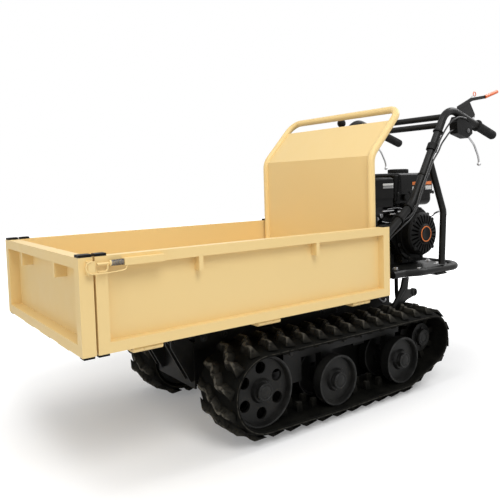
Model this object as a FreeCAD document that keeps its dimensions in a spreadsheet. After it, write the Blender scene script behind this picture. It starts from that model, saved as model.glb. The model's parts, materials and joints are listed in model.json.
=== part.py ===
import FreeCAD, Part
import math
import os
import Sketcher
from FreeCAD import Rotation, Vector

# Walk-behind crawler carrier. Millimetres, +X forward, +Y to the machine's left, +Z up.
# The origin is on the ground, at the middle of the overall length and width.

doc = FreeCAD.newDocument("CrawlerCarrier")
sheet = doc.addObject("Spreadsheet::Sheet", "Sizes")


class Size(float):
    """A length that carries the sheet expression it comes from."""

    def __new__(cls, value, text=None):
        size = super().__new__(cls, value)
        size.text = text if text is not None else repr(float(value))
        return size

    def __add__(self, other):
        return Size(float(self) + float(other), "(%s + %s)" % (self.text, wording(other)))

    def __radd__(self, other):
        return Size(float(other) + float(self), "(%s + %s)" % (wording(other), self.text))

    def __sub__(self, other):
        return Size(float(self) - float(other), "(%s - %s)" % (self.text, wording(other)))

    def __rsub__(self, other):
        return Size(float(other) - float(self), "(%s - %s)" % (wording(other), self.text))

    def __mul__(self, other):
        return Size(float(self) * float(other), "(%s * %s)" % (self.text, wording(other)))

    def __rmul__(self, other):
        return Size(float(other) * float(self), "(%s * %s)" % (wording(other), self.text))

    def __truediv__(self, other):
        return Size(float(self) / float(other), "(%s / %s)" % (self.text, wording(other)))

    def __neg__(self):
        return Size(-float(self), "(0 - %s)" % self.text)


def wording(value):
    return value.text if isinstance(value, Size) else repr(float(value))


# Driving dimensions: name, value, meaning
SIZES = (
    ("bed_length", 1000, "gate face to the rear end of the side panels"),
    ("rear_length", 748, "rear end of the side panels to the end of the drive lever"),
    ("bed_width", 640, "outside of the side panels"),
    ("panel_bottom", 345, "ground to the bottom edge of the gate and side panels"),
    ("panel_height", 220, "gate and side panel height"),
    ("side_depth", 25, "thickness of a side panel's frame"),
    ("gate_depth", 32, "thickness of the gate's frame"),
    ("rail_height", 25, "height of a panel frame's rails"),
    ("post_width", 28, "width of a panel frame's end posts"),
    ("panel_sheet", 2, "sheet thickness of the bed"),
    ("seam", 5, "running gap between a panel and what it swings past"),
    ("cap_height", 6, "height of the plastic end caps on the posts"),
    ("tab_width", 12, "width of the stiffening tabs under the top rails"),
    ("tab_height", 36, "height of the stiffening tabs"),
    ("hinge_drop", 7, "hinge axis below the panel's bottom edge"),
    ("hinge_pin", 4, "radius of the panel hinge pins"),
    ("pin_play", 0.3, "running clearance round pins and axles"),
    ("knuckle", 24, "length of one hinge knuckle"),
    ("floor_tube", 25, "height of the floor frame's tubes"),
    ("bed_rail", 40, "square section of the rails under the bed"),
    ("bed_rail_at", 90, "centre plane to the middle of a bed rail"),
    ("board_setback", 31, "headboard to the rear end of the side panels"),
    ("board_inset", 34, "outside of a side panel to the headboard's edge"),
    ("fold_height", 792, "ground to the headboard's fold"),
    ("board_top", 909, "ground to the headboard's top edge"),
    ("board_lean", 109, "how far the headboard leans back above its fold"),
    ("guard_radius", 12, "radius of the guard tube"),
    ("guard_top", 948, "ground to the middle of the guard tube's handle"),
    ("pivot_at", 340, "gate face to the tipping axis"),
    ("pivot_height", 280, "ground to the tipping axis"),
    ("pivot_radius", 10, "radius of the tipping pins"),
    ("lug_thickness", 12, "thickness of the pivot lugs"),
    ("track_width", 180, "width of a rubber track"),
    ("track_edge", 325, "centre plane to the outer edge of a track"),
    ("belt", 18, "thickness of the track's belt"),
    ("shoe_height", 17, "height of the ground lugs"),
    ("shoe_pitch", 60, "pitch of the ground lugs"),
    ("idler_at", 502, "gate face to the idler's axle"),
    ("idler_lift", 45, "ground to the lowest point of the idler"),
    ("idler_radius", 100, "radius of the idler"),
    ("roller_front", 785, "gate face to the first roller's axle"),
    ("roller_rear", 1083, "gate face to the second roller's axle"),
    ("roller_radius", 77, "radius of the rollers"),
    ("sprocket_at", 1213, "gate face to the drive axle"),
    ("sprocket_height", 161, "ground to the drive axle"),
    ("sprocket_radius", 76, "radius of the drive sprocket"),
    ("sprocket_teeth", 9, "teeth of the drive sprocket"),
    ("disc_width", 30, "width of one wheel disc"),
    ("disc_gap", 70, "gap between a wheel's two discs"),
    ("web", 8, "thickness of a wheel disc's web"),
    ("hub_radius", 30, "radius of a wheel's hub"),
    ("guide_height", 26, "height of the guide lugs inside the belt"),
    ("guide_width", 15, "width of one guide lug"),
    ("guide_gap", 32, "gap between the two guide lugs of a pair"),
    ("axle_radius", 12, "radius of the wheel axles"),
    ("beam_width", 26, "width of the beam that carries the rollers"),
    ("beam_height", 42, "height of the beam that carries the rollers"),
    ("beam_bottom", 192, "ground to the underside of that beam"),
    ("rail_width", 40, "width of a chassis rail"),
    ("rail_depth", 58, "height of a chassis rail"),
    ("rail_top", 298, "ground to the top of the chassis rails"),
    ("rail_front", 400, "gate face to the front of the chassis rails"),
    ("rail_rear", 240, "bed's rear end to the rear of the chassis rails"),
    ("deck_front", 15, "bed's rear end to the front of the engine deck"),
    ("deck_rear", 496, "bed's rear end to the rear of the engine deck"),
    ("deck_half", 196, "centre plane to the side edge of the engine deck"),
    ("deck_top", 386, "ground to the top of the engine deck"),
    ("deck_sheet", 4, "thickness of the engine deck"),
    ("bumper_radius", 13.5, "radius of the bumper tube"),
    ("bumper_front", 232, "bed's rear end to where the bumper leaves the deck's edge"),
    ("bumper_rear", 512, "bed's rear end to the rear run of the bumper"),
    ("bar_half", 235, "centre plane to the handlebar tubes"),
    ("bar_radius", 14, "radius of the handlebar tubes"),
    ("crank_at", 385, "bed's rear end to the crankshaft"),
    ("crank_height", 505, "ground to the crankshaft"),
    ("blower_radius", 104, "radius of the engine's fan housing"),
    ("blower_inner", 66, "centre plane to the inner face of the fan housing"),
    ("blower_outer", 114, "centre plane to the outer face of the fan housing"),
    ("cover_radius", 82, "radius of the starter cover"),
    ("cover_face", 164, "centre plane to the face of the starter cover"),
    ("cover_louvres", 24, "cooling slots round the starter cover"),
    ("tank_front", 262, "bed's rear end to the front of the fuel tank"),
    ("tank_rear", 495, "bed's rear end to the rear of the fuel tank"),
    ("tank_bottom", 612, "ground to the underside of the fuel tank"),
    ("tank_seam", 661, "ground to the seam of the fuel tank"),
    ("tank_top", 737, "ground to the top of the fuel tank"),
    ("cable_radius", 3, "radius of the control cables"),
)

for row, (alias, value, meaning) in enumerate(SIZES, start=1):
    sheet.set("A%d" % row, meaning)
    sheet.set("B%d" % row, str(value))
    sheet.setAlias("B%d" % row, alias)
doc.recompute()

V = {alias: Size(value, "Sizes." + alias) for alias, value, meaning in SIZES}

overall_length = V["bed_length"] + V["rear_length"]
nose = overall_length / 2
board_at = V["bed_length"] - V["board_setback"]
board_width = V["bed_width"] - V["board_inset"] * 2


def back(distance):
    """X of a place that lies this far behind the gate's face."""
    return nose - distance


def aft(distance):
    """X of a place that lies this far behind the rear end of the bed."""
    return back(V["bed_length"] + distance)


# Tools for building pieces
def bind(thing, name, value):
    if isinstance(value, Size):
        thing.setExpression(name, value.text)
    else:
        setattr(thing, name, value)


def put(thing, x, y, z, rotation=None):
    thing.Placement = FreeCAD.Placement(Vector(x, y, z), rotation or Rotation())
    for name, value in (("x", x), ("y", y), ("z", z)):
        if isinstance(value, Size):
            thing.setExpression("Placement.Base." + name, value.text)
    return thing


def block(name, x, y, z):
    """A box from three (low, high) pairs."""
    thing = doc.addObject("Part::Box", name)
    for side, (low, high) in zip(("Length", "Width", "Height"), (x, y, z)):
        setattr(thing, side, float(high) - float(low))
        bind(thing, side, high - low)
    return put(thing, x[0], y[0], z[0])


TURNS = {
    "x": Rotation(Vector(0, 1, 0), 90),
    "y": Rotation(Vector(1, 0, 0), -90),
    "z": Rotation(),
}


def rod(name, axis, radius, length, x, y, z):
    """A cylinder that starts at (x, y, z) and runs along +axis."""
    thing = doc.addObject("Part::Cylinder", name)
    thing.Radius = float(radius)
    thing.Height = float(length)
    bind(thing, "Radius", radius)
    bind(thing, "Height", length)
    return put(thing, x, y, z, TURNS[axis])


def join(name, *things):
    union = doc.addObject("Part::MultiFuse", name)
    union.Shapes = list(things)
    return union


def cut(name, thing, *tools):
    tool = tools[0] if len(tools) == 1 else join(name + "_tools", *tools)
    rest = doc.addObject("Part::Cut", name)
    rest.Base = thing
    rest.Tool = tool
    return rest


def group(name, *things):
    pieces = doc.addObject("Part::Compound", name)
    pieces.Links = list(things)
    return pieces


def mirrored(name, thing):
    """The same piece on the machine's other side."""
    twin = doc.addObject("Part::Mirroring", name)
    twin.Source = thing
    twin.Normal = Vector(0, 1, 0)
    twin.Base = Vector(0, 0, 0)
    return twin


def shaped(name, shape):
    thing = doc.addObject("Part::Feature", name)
    thing.Shape = shape
    thing.Placement = FreeCAD.Placement()
    return thing


def profile(body, plane, points):
    """A closed sketch of straight lines on one of the body's planes, each corner tied to its sizes."""
    sketch = body.newObject("Sketcher::SketchObject", body.Name + "_profile")
    origin = [item for item in body.Origin.OriginFeatures if item.Role == plane + "_Plane"][0]
    sketch.AttachmentSupport = [(origin, "")]
    sketch.MapMode = "FlatFace"
    corners = [Vector(float(across), float(up), 0) for across, up in points]
    count = len(corners)
    for index in range(count):
        sketch.addGeometry(Part.LineSegment(corners[index], corners[(index + 1) % count]), False)
    for index in range(count):
        sketch.addConstraint(Sketcher.Constraint("Coincident", index, 2, (index + 1) % count, 1))
    for index, (across, up) in enumerate(points):
        for kind, value in (("DistanceX", across), ("DistanceY", up)):
            number = sketch.addConstraint(Sketcher.Constraint(kind, -1, 1, index, 1, float(value)))
            if isinstance(value, Size):
                sketch.setExpression("Constraints[%d]" % number, value.text)
    return sketch


def plate(name, plane, points, low, thickness):
    """A padded outline: points are pairs on the XZ, YZ or XY plane, low is the pad's first face."""
    body = doc.addObject("PartDesign::Body", name)
    pad = body.newObject("PartDesign::Pad", name + "_pad")
    pad.Profile = profile(body, plane, points)
    pad.Length = float(thickness)
    bind(pad, "Length", thickness)
    pad.Reversed = plane == "XZ"
    body.Tip = pad
    if plane == "XZ":
        return put(body, 0, low, 0)
    if plane == "XY":
        return put(body, 0, 0, low)
    return put(body, low, 0, 0)


def turned(name, points, x, z):
    """A round piece on an axle across the machine: points are (radius, left of the middle) pairs."""
    body = doc.addObject("PartDesign::Body", name)
    sketch = profile(body, "XY", points)
    turn = body.newObject("PartDesign::Revolution", name + "_turn")
    turn.Profile = sketch
    turn.ReferenceAxis = (sketch, ["V_Axis"])
    turn.Angle = 360
    body.Tip = turn
    return put(body, x, 0, z)


def along(edge, way):
    """Whether a straight edge runs along this way."""
    first, last = edge.Vertexes[0].Point, edge.Vertexes[-1].Point
    return first != last and abs((last - first).normalize().dot(way)) > 0.999


def eased(name, thing, radius, chosen):
    """Rounds the edges that a test picks."""
    rounded = doc.addObject("Part::Fillet", name)
    rounded.Base = thing
    doc.recompute()
    picked = [number for number, edge in enumerate(thing.Shape.Edges, start=1) if chosen(edge)]
    rounded.Edges = [(number, float(radius), float(radius)) for number in picked]
    return rounded


def round_path(points, radii):
    """Straight runs through the points, joined by tangent arcs of the given radii."""
    edges = []
    start = points[0]
    for index in range(1, len(points) - 1):
        before = (points[index - 1] - points[index]).normalize()
        after = (points[index + 1] - points[index]).normalize()
        turn = math.pi - before.getAngle(after)
        reach = radii[index - 1] * math.tan(turn / 2)
        first = points[index] + before * reach
        last = points[index] + after * reach
        middle_way = (before + after).normalize()
        centre = points[index] + middle_way * (radii[index - 1] / math.cos(turn / 2))
        middle = centre - middle_way * radii[index - 1]
        if (first - start).Length > 0.01:
            edges.append(Part.LineSegment(start, first).toShape())
        edges.append(Part.Arc(first, middle, last).toShape())
        start = last
    edges.append(Part.LineSegment(start, points[-1]).toShape())
    return Part.Wire(edges)


def bent_rod(points, radii, radius):
    """A round bar swept along a rounded path."""
    path = round_path(points, radii)
    way = (points[1] - points[0]).normalize()
    ring = Part.Wire([Part.Circle(points[0], way, radius).toShape()])
    return path.makePipeShell([ring], True, False)


# Bed: floor, headboard and guard tube
half_bed = V["bed_width"] / 2
guard_half = board_width / 2 - V["guard_radius"]
panel_top = V["panel_bottom"] + V["panel_height"]
side_inside = half_bed - V["side_depth"]
floor_half = side_inside - V["seam"] - 1
floor_bottom = V["panel_bottom"] - 2
floor_top = floor_bottom + V["floor_tube"] + V["panel_sheet"]
floor_front = V["gate_depth"] + V["seam"] + 1
floor_rear = board_at + 20
hinge_height = V["panel_bottom"] - V["hinge_drop"]
side_axis = half_bed - V["side_depth"] / 2
gate_axis = V["gate_depth"] / 2
barrel = V["hinge_drop"] - V["pin_play"]


def make_floor():
    tube_top = floor_top - V["panel_sheet"]
    outer = block("floor_outer", (back(floor_rear), back(floor_front)), (-floor_half, floor_half),
                  (floor_bottom, tube_top))
    bays = []
    bay = (floor_rear - floor_front - V["floor_tube"]) / 4
    for number in range(4):
        low = floor_rear - V["floor_tube"] - bay * number
        bays.append(block("floor_bay_%d" % number, (back(low), back(low - bay + V["floor_tube"])),
                          (-floor_half + V["floor_tube"], floor_half - V["floor_tube"]),
                          (floor_bottom - 1, tube_top + 1)))
    frame = cut("floor_grid", outer, *bays)
    whole_sheet = block("floor_sheet_whole", (back(board_at), back(floor_front)), (-floor_half, floor_half),
                        (tube_top, floor_top))
    reach = V["guard_radius"] + 1
    sides = ((guard_half - reach, floor_half), (-floor_half, reach - guard_half))
    notches = [block("floor_notch_%d" % number, (back(board_at), back(board_at - reach)), y,
                     (tube_top, floor_top))
               for number, y in enumerate(sides)]
    sheet_top = cut("floor_sheet", whole_sheet, *notches)
    return [join("bed_floor", frame, sheet_top, *make_hinge_seats())]


def make_bed_rails():
    half = V["bed_rail"] / 2
    rail = block("bed_rail_bar", (back(floor_rear - 9), back(V["pivot_at"] - 280)),
                 (V["bed_rail_at"] - half, V["bed_rail_at"] + half),
                 (floor_bottom - V["bed_rail"], floor_bottom))
    lug_half = V["lug_thickness"] / 2
    ear = 20
    lug = block("bed_lug_plate", (back(V["pivot_at"] + ear), back(V["pivot_at"] - ear)),
                (V["bed_rail_at"] - lug_half, V["bed_rail_at"] + lug_half),
                (V["pivot_height"], floor_bottom - V["bed_rail"]))
    eye = rod("bed_lug_eye", "y", ear, V["lug_thickness"], back(V["pivot_at"]),
              V["bed_rail_at"] - lug_half, V["pivot_height"])
    hole = rod("bed_lug_hole", "y", V["pivot_radius"] + V["pin_play"], V["lug_thickness"] + 2,
               back(V["pivot_at"]), V["bed_rail_at"] - lug_half - 1, V["pivot_height"])
    left = cut("bed_rail_left", join("bed_rail_solid", rail, lug, eye), hole)
    return [left, mirrored("bed_rail_right", left)]


def make_headboard():
    """A folded sheet welded between the legs of the guard tube that frames it."""
    thick = V["panel_sheet"]
    foot = floor_top - thick
    lean = V["board_lean"]
    outline = [
        (back(board_at), foot),
        (back(board_at), V["fold_height"]),
        (back(board_at + lean), V["board_top"]),
        (back(board_at + lean + thick), V["board_top"]),
        (back(board_at + thick), V["fold_height"]),
        (back(board_at + thick), foot),
    ]
    radius = float(V["guard_radius"])
    at = float(board_at + thick / 2)
    side = float(guard_half)
    fold = float(V["fold_height"])
    rise = float(V["guard_top"]) - fold
    top_at = at + rise * float(lean) / float(V["board_top"] - V["fold_height"])
    route = []
    for sign in (1, -1):
        leg = [
            Vector(float(nose) - at, sign * side, float(foot)),
            Vector(float(nose) - at, sign * side, fold),
            Vector(float(nose) - top_at, sign * side, fold + rise),
        ]
        route += leg if sign == 1 else leg[::-1]
    tube = shaped("guard_tube", bent_rod(route, (60, 45, 45, 60), radius))
    board = plate("headboard_whole", "XZ", outline, -guard_half, guard_half * 2)
    return [cut("headboard", board, tube), tube]


def frame_panel(name, x, y, z, open_x, open_y, open_z):
    outer = block(name + "_outer", x, y, z)
    opening = block(name + "_opening", open_x, open_y, open_z)
    return cut(name + "_frame_bars", outer, opening)


def knuckles(name, axis, centre, height, places, radius, length, hole):
    """Hinge barrels along one axis, bored for their pin."""
    barrels = []
    for number, place in enumerate(places):
        start = place - length / 2
        spot = (back(start + length), centre, height) if axis == "x" else (centre, start, height)
        tube = rod("%s_%d" % (name, number), axis, radius, length, *spot)
        bore_spot = list(spot)
        bore_spot[0 if axis == "x" else 1] = spot[0 if axis == "x" else 1] - 1
        bore = rod("%s_bore_%d" % (name, number), axis, hole, length + 2, *bore_spot)
        barrels.append(cut("%s_ring_%d" % (name, number), tube, bore))
    return barrels


SIDE_HINGES = (160, 518, 876)
GATE_HINGES = (-150, 0, 150)


def make_hinge_seats():
    """The floor's share of the panel hinges: two straps and a pin at each hinge."""
    length = V["knuckle"]
    side = []
    for number, place in enumerate(SIDE_HINGES):
        for end, shift in enumerate((-1, 1)):
            spot = place + shift * (length + 1)
            tag = "%d_%d" % (number, end)
            ring = rod("side_seat_ring_" + tag, "x", barrel, length, back(spot + length / 2),
                       side_axis, hinge_height)
            strap = block("side_strap_" + tag, (back(spot + length / 2), back(spot - length / 2)),
                          (floor_half - V["floor_tube"], side_axis),
                          (hinge_height - barrel, hinge_height - barrel + 5))
            riser = block("side_riser_" + tag, (back(spot + length / 2), back(spot - length / 2)),
                          (floor_half - V["floor_tube"], floor_half),
                          (hinge_height - barrel, floor_bottom))
            side.append(join("side_seat_" + tag, ring, strap, riser))
        pin = rod("side_pin_%d" % number, "x", V["hinge_pin"], length * 3 + 2,
                  back(place + length * 1.5 + 1), side_axis, hinge_height)
        side.append(pin)
    left = join("left_hinge_seats", *side)
    gate = []
    for number, place in enumerate(GATE_HINGES):
        for end, shift in enumerate((-1, 1)):
            spot = place + shift * (length + 1)
            tag = "%d_%d" % (number, end)
            ring = rod("gate_seat_ring_" + tag, "y", barrel, length, back(gate_axis),
                       spot - length / 2, hinge_height)
            strap = block("gate_strap_" + tag, (back(floor_front + V["floor_tube"]), back(gate_axis)),
                          (spot - length / 2, spot + length / 2),
                          (hinge_height - barrel, hinge_height - barrel + 5))
            riser = block("gate_riser_" + tag, (back(floor_front + V["floor_tube"]), back(floor_front)),
                          (spot - length / 2, spot + length / 2),
                          (hinge_height - barrel, floor_bottom))
            gate.append(join("gate_seat_" + tag, ring, strap, riser))
        gate.append(rod("gate_pin_%d" % number, "y", V["hinge_pin"], length * 3 + 2, back(gate_axis),
                        place - length * 1.5 - 1, hinge_height))
    return [left, mirrored("right_hinge_seats", left), join("gate_hinge_seats", *gate)]


def make_gate():
    front = back(0)
    inner = back(V["gate_depth"])
    z = (V["panel_bottom"], panel_top)
    opening_z = (V["panel_bottom"] + V["rail_height"], panel_top - V["rail_height"])
    opening_y = (-half_bed + V["post_width"], half_bed - V["post_width"])
    bars = frame_panel("gate", (inner, front), (-half_bed, half_bed), z,
                       (inner - 1, front + 1), opening_y, opening_z)
    rings = knuckles("gate_barrel", "y", back(gate_axis), hinge_height, GATE_HINGES, barrel,
                     V["knuckle"], V["hinge_pin"] + V["pin_play"])
    lips = [block("gate_lip_%d" % number,
                  (back(gate_axis + 3), back(gate_axis - 3)),
                  (place - V["knuckle"] / 2, place + V["knuckle"] / 2),
                  (hinge_height + V["hinge_pin"] + 1, V["panel_bottom"]))
            for number, place in enumerate(GATE_HINGES)]
    skin = block("gate_sheet", (inner, inner + V["panel_sheet"]), opening_y, opening_z)
    tabs = [block("gate_tab_%d" % number, (inner + V["panel_sheet"], front),
                  (place - V["tab_width"] / 2, place + V["tab_width"] / 2),
                  (opening_z[1] - V["tab_height"], opening_z[1]))
            for number, place in enumerate((-145, 145))]
    caps = [block("gate_cap_%d" % number, (inner + 1, front - 1),
                  (low + 1, low + V["post_width"] - 1), (panel_top, panel_top + V["cap_height"]))
            for number, low in enumerate((-half_bed, half_bed - V["post_width"]))]
    catch_plate = block("catch_plate", (back(32), back(16)), (half_bed, half_bed + 14), (527, 557))
    catch_slot = block("catch_slot", (back(33), back(20)), (half_bed + 3, half_bed + 12), (530, 558))
    catch = cut("left_catch", catch_plate, catch_slot)
    catches = [catch, mirrored("right_catch", catch)]
    panel = join("gate_panel", bars, skin, *(rings + lips + tabs + catches))
    return [panel, group("gate_caps", *caps)]


def make_sides():
    front = V["gate_depth"] + V["seam"]
    x = (back(V["bed_length"]), back(front))
    y = (side_inside, half_bed)
    z = (V["panel_bottom"], panel_top)
    open_x = (back(V["bed_length"] - V["post_width"]), back(front + V["post_width"]))
    open_z = (V["panel_bottom"] + V["rail_height"], panel_top - V["rail_height"])
    bars = frame_panel("side", x, y, z, open_x, (side_inside - 1, half_bed + 1), open_z)
    rings = knuckles("side_barrel", "x", side_axis, hinge_height, SIDE_HINGES, barrel,
                     V["knuckle"], V["hinge_pin"] + V["pin_play"])
    lips = [block("side_lip_%d" % number,
                  (back(place + V["knuckle"] / 2), back(place - V["knuckle"] / 2)),
                  (side_axis - 3, side_axis + 3),
                  (hinge_height + V["hinge_pin"] + 1, V["panel_bottom"]))
            for number, place in enumerate(SIDE_HINGES)]
    skin = block("left_side_sheet", open_x, (side_inside, side_inside + V["panel_sheet"]), open_z)
    tabs = [block("side_tab_%d" % number,
                  (back(place + V["tab_width"] / 2), back(place - V["tab_width"] / 2)),
                  (side_inside + V["panel_sheet"], half_bed), (open_z[1] - V["tab_height"], open_z[1]))
            for number, place in enumerate((306, 694))]
    caps = [block("side_cap_%d" % number,
                  (back(low + V["post_width"] - 1), back(low + 1)),
                  (side_inside + 1, half_bed - 1), (panel_top, panel_top + V["cap_height"]))
            for number, low in enumerate((front, V["bed_length"] - V["post_width"]))]
    panel = join("left_side_panel", bars, skin, *(rings + lips + tabs))
    left = [panel, group("left_side_caps", *caps)]
    right = [mirrored(piece.Name.replace("left", "right"), piece) for piece in left]
    return left + right


LATCH_HEIGHT = 549
LATCH_OUT = 9


def make_latches():
    """Spring bolts on the side panels: a channel, the bolt with its spring, and a wire bail to pull it."""
    centre = half_bed + LATCH_OUT
    channel = block("latch_channel", (back(201), back(99)), (half_bed, half_bed + 17),
                    (LATCH_HEIGHT - 8, LATCH_HEIGHT + 8))
    room = block("latch_room", (back(194), back(98)), (half_bed, half_bed + 15),
                 (LATCH_HEIGHT - 6, LATCH_HEIGHT + 6))
    bolt = rod("latch_bolt", "x", 3, 157, back(195), centre, LATCH_HEIGHT)
    collar = rod("latch_collar", "x", 6.5, 4, back(70), centre, LATCH_HEIGHT)
    stop = rod("latch_stop", "x", 5.9, 60, back(194), centre, LATCH_HEIGHT)
    corner = [Vector(float(nose) - at, float(centre), height)
              for at, height in ((62, LATCH_HEIGHT), (62, 531), (40, 531))]
    bail = shaped("latch_bail", bent_rod(corner, (8,), 2.5))
    left = join("left_latch", cut("latch_housing", channel, room), bolt, collar, stop, bail)
    return [left, mirrored("right_latch", left)]


# Crawler tracks: belt loops round their wheels, with staggered ground lugs
track_middle = V["track_edge"] - V["track_width"] / 2


def wheel_circles():
    """Centre x, centre z and radius of the wheels, in order round the loop from the front."""
    return [
        (float(back(V["idler_at"])), float(idler_height), float(V["idler_radius"])),
        (float(back(V["sprocket_at"])), float(V["sprocket_height"]), float(V["sprocket_radius"])),
        (float(back(V["roller_rear"])), float(roller_height), float(V["roller_radius"])),
        (float(back(V["roller_front"])), float(roller_height), float(V["roller_radius"])),
    ]


idler_height = V["idler_lift"] + V["idler_radius"]
roller_height = V["roller_radius"] + V["belt"] + V["shoe_height"]


class Loop:
    """A belt line that runs round the wheels at a given distance outside their rims."""

    def __init__(self, wheels, outside):
        self.spans = []
        count = len(wheels)
        normals = []
        for index in range(count):
            ax, az, ar = wheels[index]
            bx, bz, br = wheels[(index + 1) % count]
            length = math.hypot(bx - ax, bz - az)
            along = math.atan2(bz - az, bx - ax)
            normals.append(along - math.pi / 2 + math.asin((ar - br) / length))
        for index in range(count):
            x, z, rim = wheels[index]
            radius = rim + outside
            start = normals[index - 1]
            sweep = (normals[index] - start) % (2 * math.pi)
            self.spans.append(("arc", x, z, radius, start, sweep, radius * sweep))
            nx, nz, near = wheels[(index + 1) % count]
            side = (math.cos(normals[index]), math.sin(normals[index]))
            first = (x + radius * side[0], z + radius * side[1])
            last = (nx + (near + outside) * side[0], nz + (near + outside) * side[1])
            length = math.hypot(last[0] - first[0], last[1] - first[1])
            self.spans.append(("line", first, last, side, None, None, length))
        self.length = sum(span[6] for span in self.spans)

    def at(self, distance, rise=0.0):
        """Point on the loop, raised outwards by rise."""
        distance %= self.length
        for span in self.spans:
            if distance <= span[6]:
                if span[0] == "arc":
                    kind, x, z, radius, start, sweep, length = span
                    angle = start + sweep * distance / length
                    reach = radius + rise
                    return Vector(x + reach * math.cos(angle), 0, z + reach * math.sin(angle))
                kind, first, last, side, none, nothing, length = span
                share = distance / length
                return Vector(first[0] + (last[0] - first[0]) * share + side[0] * rise, 0,
                              first[1] + (last[1] - first[1]) * share + side[1] * rise)
            distance -= span[6]
        return self.at(0, rise)

    def wire(self):
        edges = []
        for span in self.spans:
            if span[0] == "arc":
                kind, x, z, radius, start, sweep, length = span
                ends = [Vector(x + radius * math.cos(angle), 0, z + radius * math.sin(angle))
                        for angle in (start, start + sweep / 2, start + sweep)]
                edges.append(Part.Arc(*ends).toShape())
            else:
                kind, first, last = span[:3]
                edges.append(Part.LineSegment(Vector(first[0], 0, first[1]),
                                              Vector(last[0], 0, last[1])).toShape())
        return Part.Wire(edges)


def shoe_outline(loop, shoes, height, shift):
    """Closed outline of the belt's outer side with its lugs."""
    pitch = loop.length / shoes
    foot = pitch * 0.42
    tip = pitch * 0.24
    points = []
    for number in range(shoes):
        middle = (number + shift) * pitch
        points.append(loop.at(middle - foot / 2))
        points.append(loop.at(middle - tip / 2, height))
        points.append(loop.at(middle + tip / 2, height))
        points.append(loop.at(middle + foot / 2))
        points.append(loop.at(middle + pitch / 2))
    return Part.Wire(Part.makePolygon(points + points[:1]))


def guide_lug(loop, middle, low):
    """One of a pair of lugs that keep the belt between the wheel discs."""
    height = float(V["guide_height"])
    corners = [loop.at(middle - 11, 1), loop.at(middle + 11, 1), loop.at(middle + 6, -height),
               loop.at(middle - 6, -height)]
    side = Part.Face(Part.Wire(Part.makePolygon(corners + corners[:1])))
    side.translate(Vector(0, low, 0))
    return side.extrude(Vector(0, float(V["guide_width"]), 0))


def make_tracks():
    """Rubber belts with two staggered rows of ground lugs outside and paired guide lugs inside."""
    wheels = wheel_circles()
    inside = Loop(wheels, 0.0)
    outside = Loop(wheels, float(V["belt"]))
    middle = Loop(wheels, float(V["belt"]) / 2)
    shoes = round(middle.length / float(V["shoe_pitch"]))
    print("track: belt length %.1f mm, %d lugs, pitch %.2f mm"
          % (middle.length, shoes, middle.length / shoes))
    inner = Part.Face(inside.wire())
    height = float(V["shoe_height"])
    half = float(V["track_width"]) / 2
    rows = []
    for row, shift in ((0, 0.0), (1, 0.5)):
        outer = Part.Face(shoe_outline(outside, shoes, height, shift))
        band = outer.cut(inner)
        band.translate(Vector(0, float(V["track_edge"]) - half * (row + 1), 0))
        rows.append(band.extrude(Vector(0, half, 0)))
    gap = float(V["guide_gap"]) / 2
    guides = []
    for number in range(shoes):
        place = (number + 0.5) * inside.length / shoes
        for low in (gap, -gap - float(V["guide_width"])):
            guides.append(guide_lug(inside, place, float(track_middle) + low))
    left = shaped("track_left", rows[0].multiFuse([rows[1]] + guides))
    return [left, mirrored("track_right", left)]


def wheel(name, radius, x, z):
    """Two dished discs with thick rims on one axle, astride the belt's guide lugs, with a domed cap."""
    rim = radius - V["pin_play"]
    near = V["disc_gap"] / 2
    far = near + V["disc_width"]
    web = near + V["web"]
    hub = V["hub_radius"]
    outer = [
        (V["axle_radius"], near - 2), (hub, near), (hub, web), (rim - 12, web), (rim - 8, near),
        (rim, near), (rim, far), (rim - 7, far), (rim - 11, web + V["web"]), (hub + 5, web + V["web"]),
        (hub, far - 4), (24, far - 4), (22, far + 2), (13, far + 6), (0, far + 7),
    ]
    inner = [
        (0, -far + 6), (hub, -far + 6), (hub + 3, -web - V["web"]), (rim - 11, -web - V["web"]),
        (rim - 7, -far), (rim, -far), (rim, -near), (rim - 8, -near), (rim - 12, -web), (hub, -web),
        (hub, -near), (V["axle_radius"], -near + 2),
    ]
    outline = [(reach, across + track_middle) for reach, across in inner + outer]
    return turned(name, outline, x, z)


def make_idlers():
    x = back(V["idler_at"])
    z = idler_height
    ring = 64
    holes = []
    for number in range(6):
        angle = math.radians(60 * number + 30)
        holes.append(rod("idler_hole_%d" % number, "y", 17, V["disc_gap"] + V["disc_width"] * 2 + 2,
                         x + ring * math.cos(angle), track_middle - V["disc_gap"] / 2 - V["disc_width"] - 1,
                         z + ring * math.sin(angle)))
    left = cut("idler_left", wheel("idler_solid", V["idler_radius"], x, z), *holes)
    return [group("idlers", left, mirrored("idler_right", left))]


def make_rollers():
    made = [wheel("roller_%s_left" % name, V["roller_radius"], back(at), roller_height)
            for name, at in (("front", V["roller_front"]), ("rear", V["roller_rear"]))]
    left = group("rollers_left", *made)
    return [group("rollers", left, mirrored("rollers_right", left))]


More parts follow.
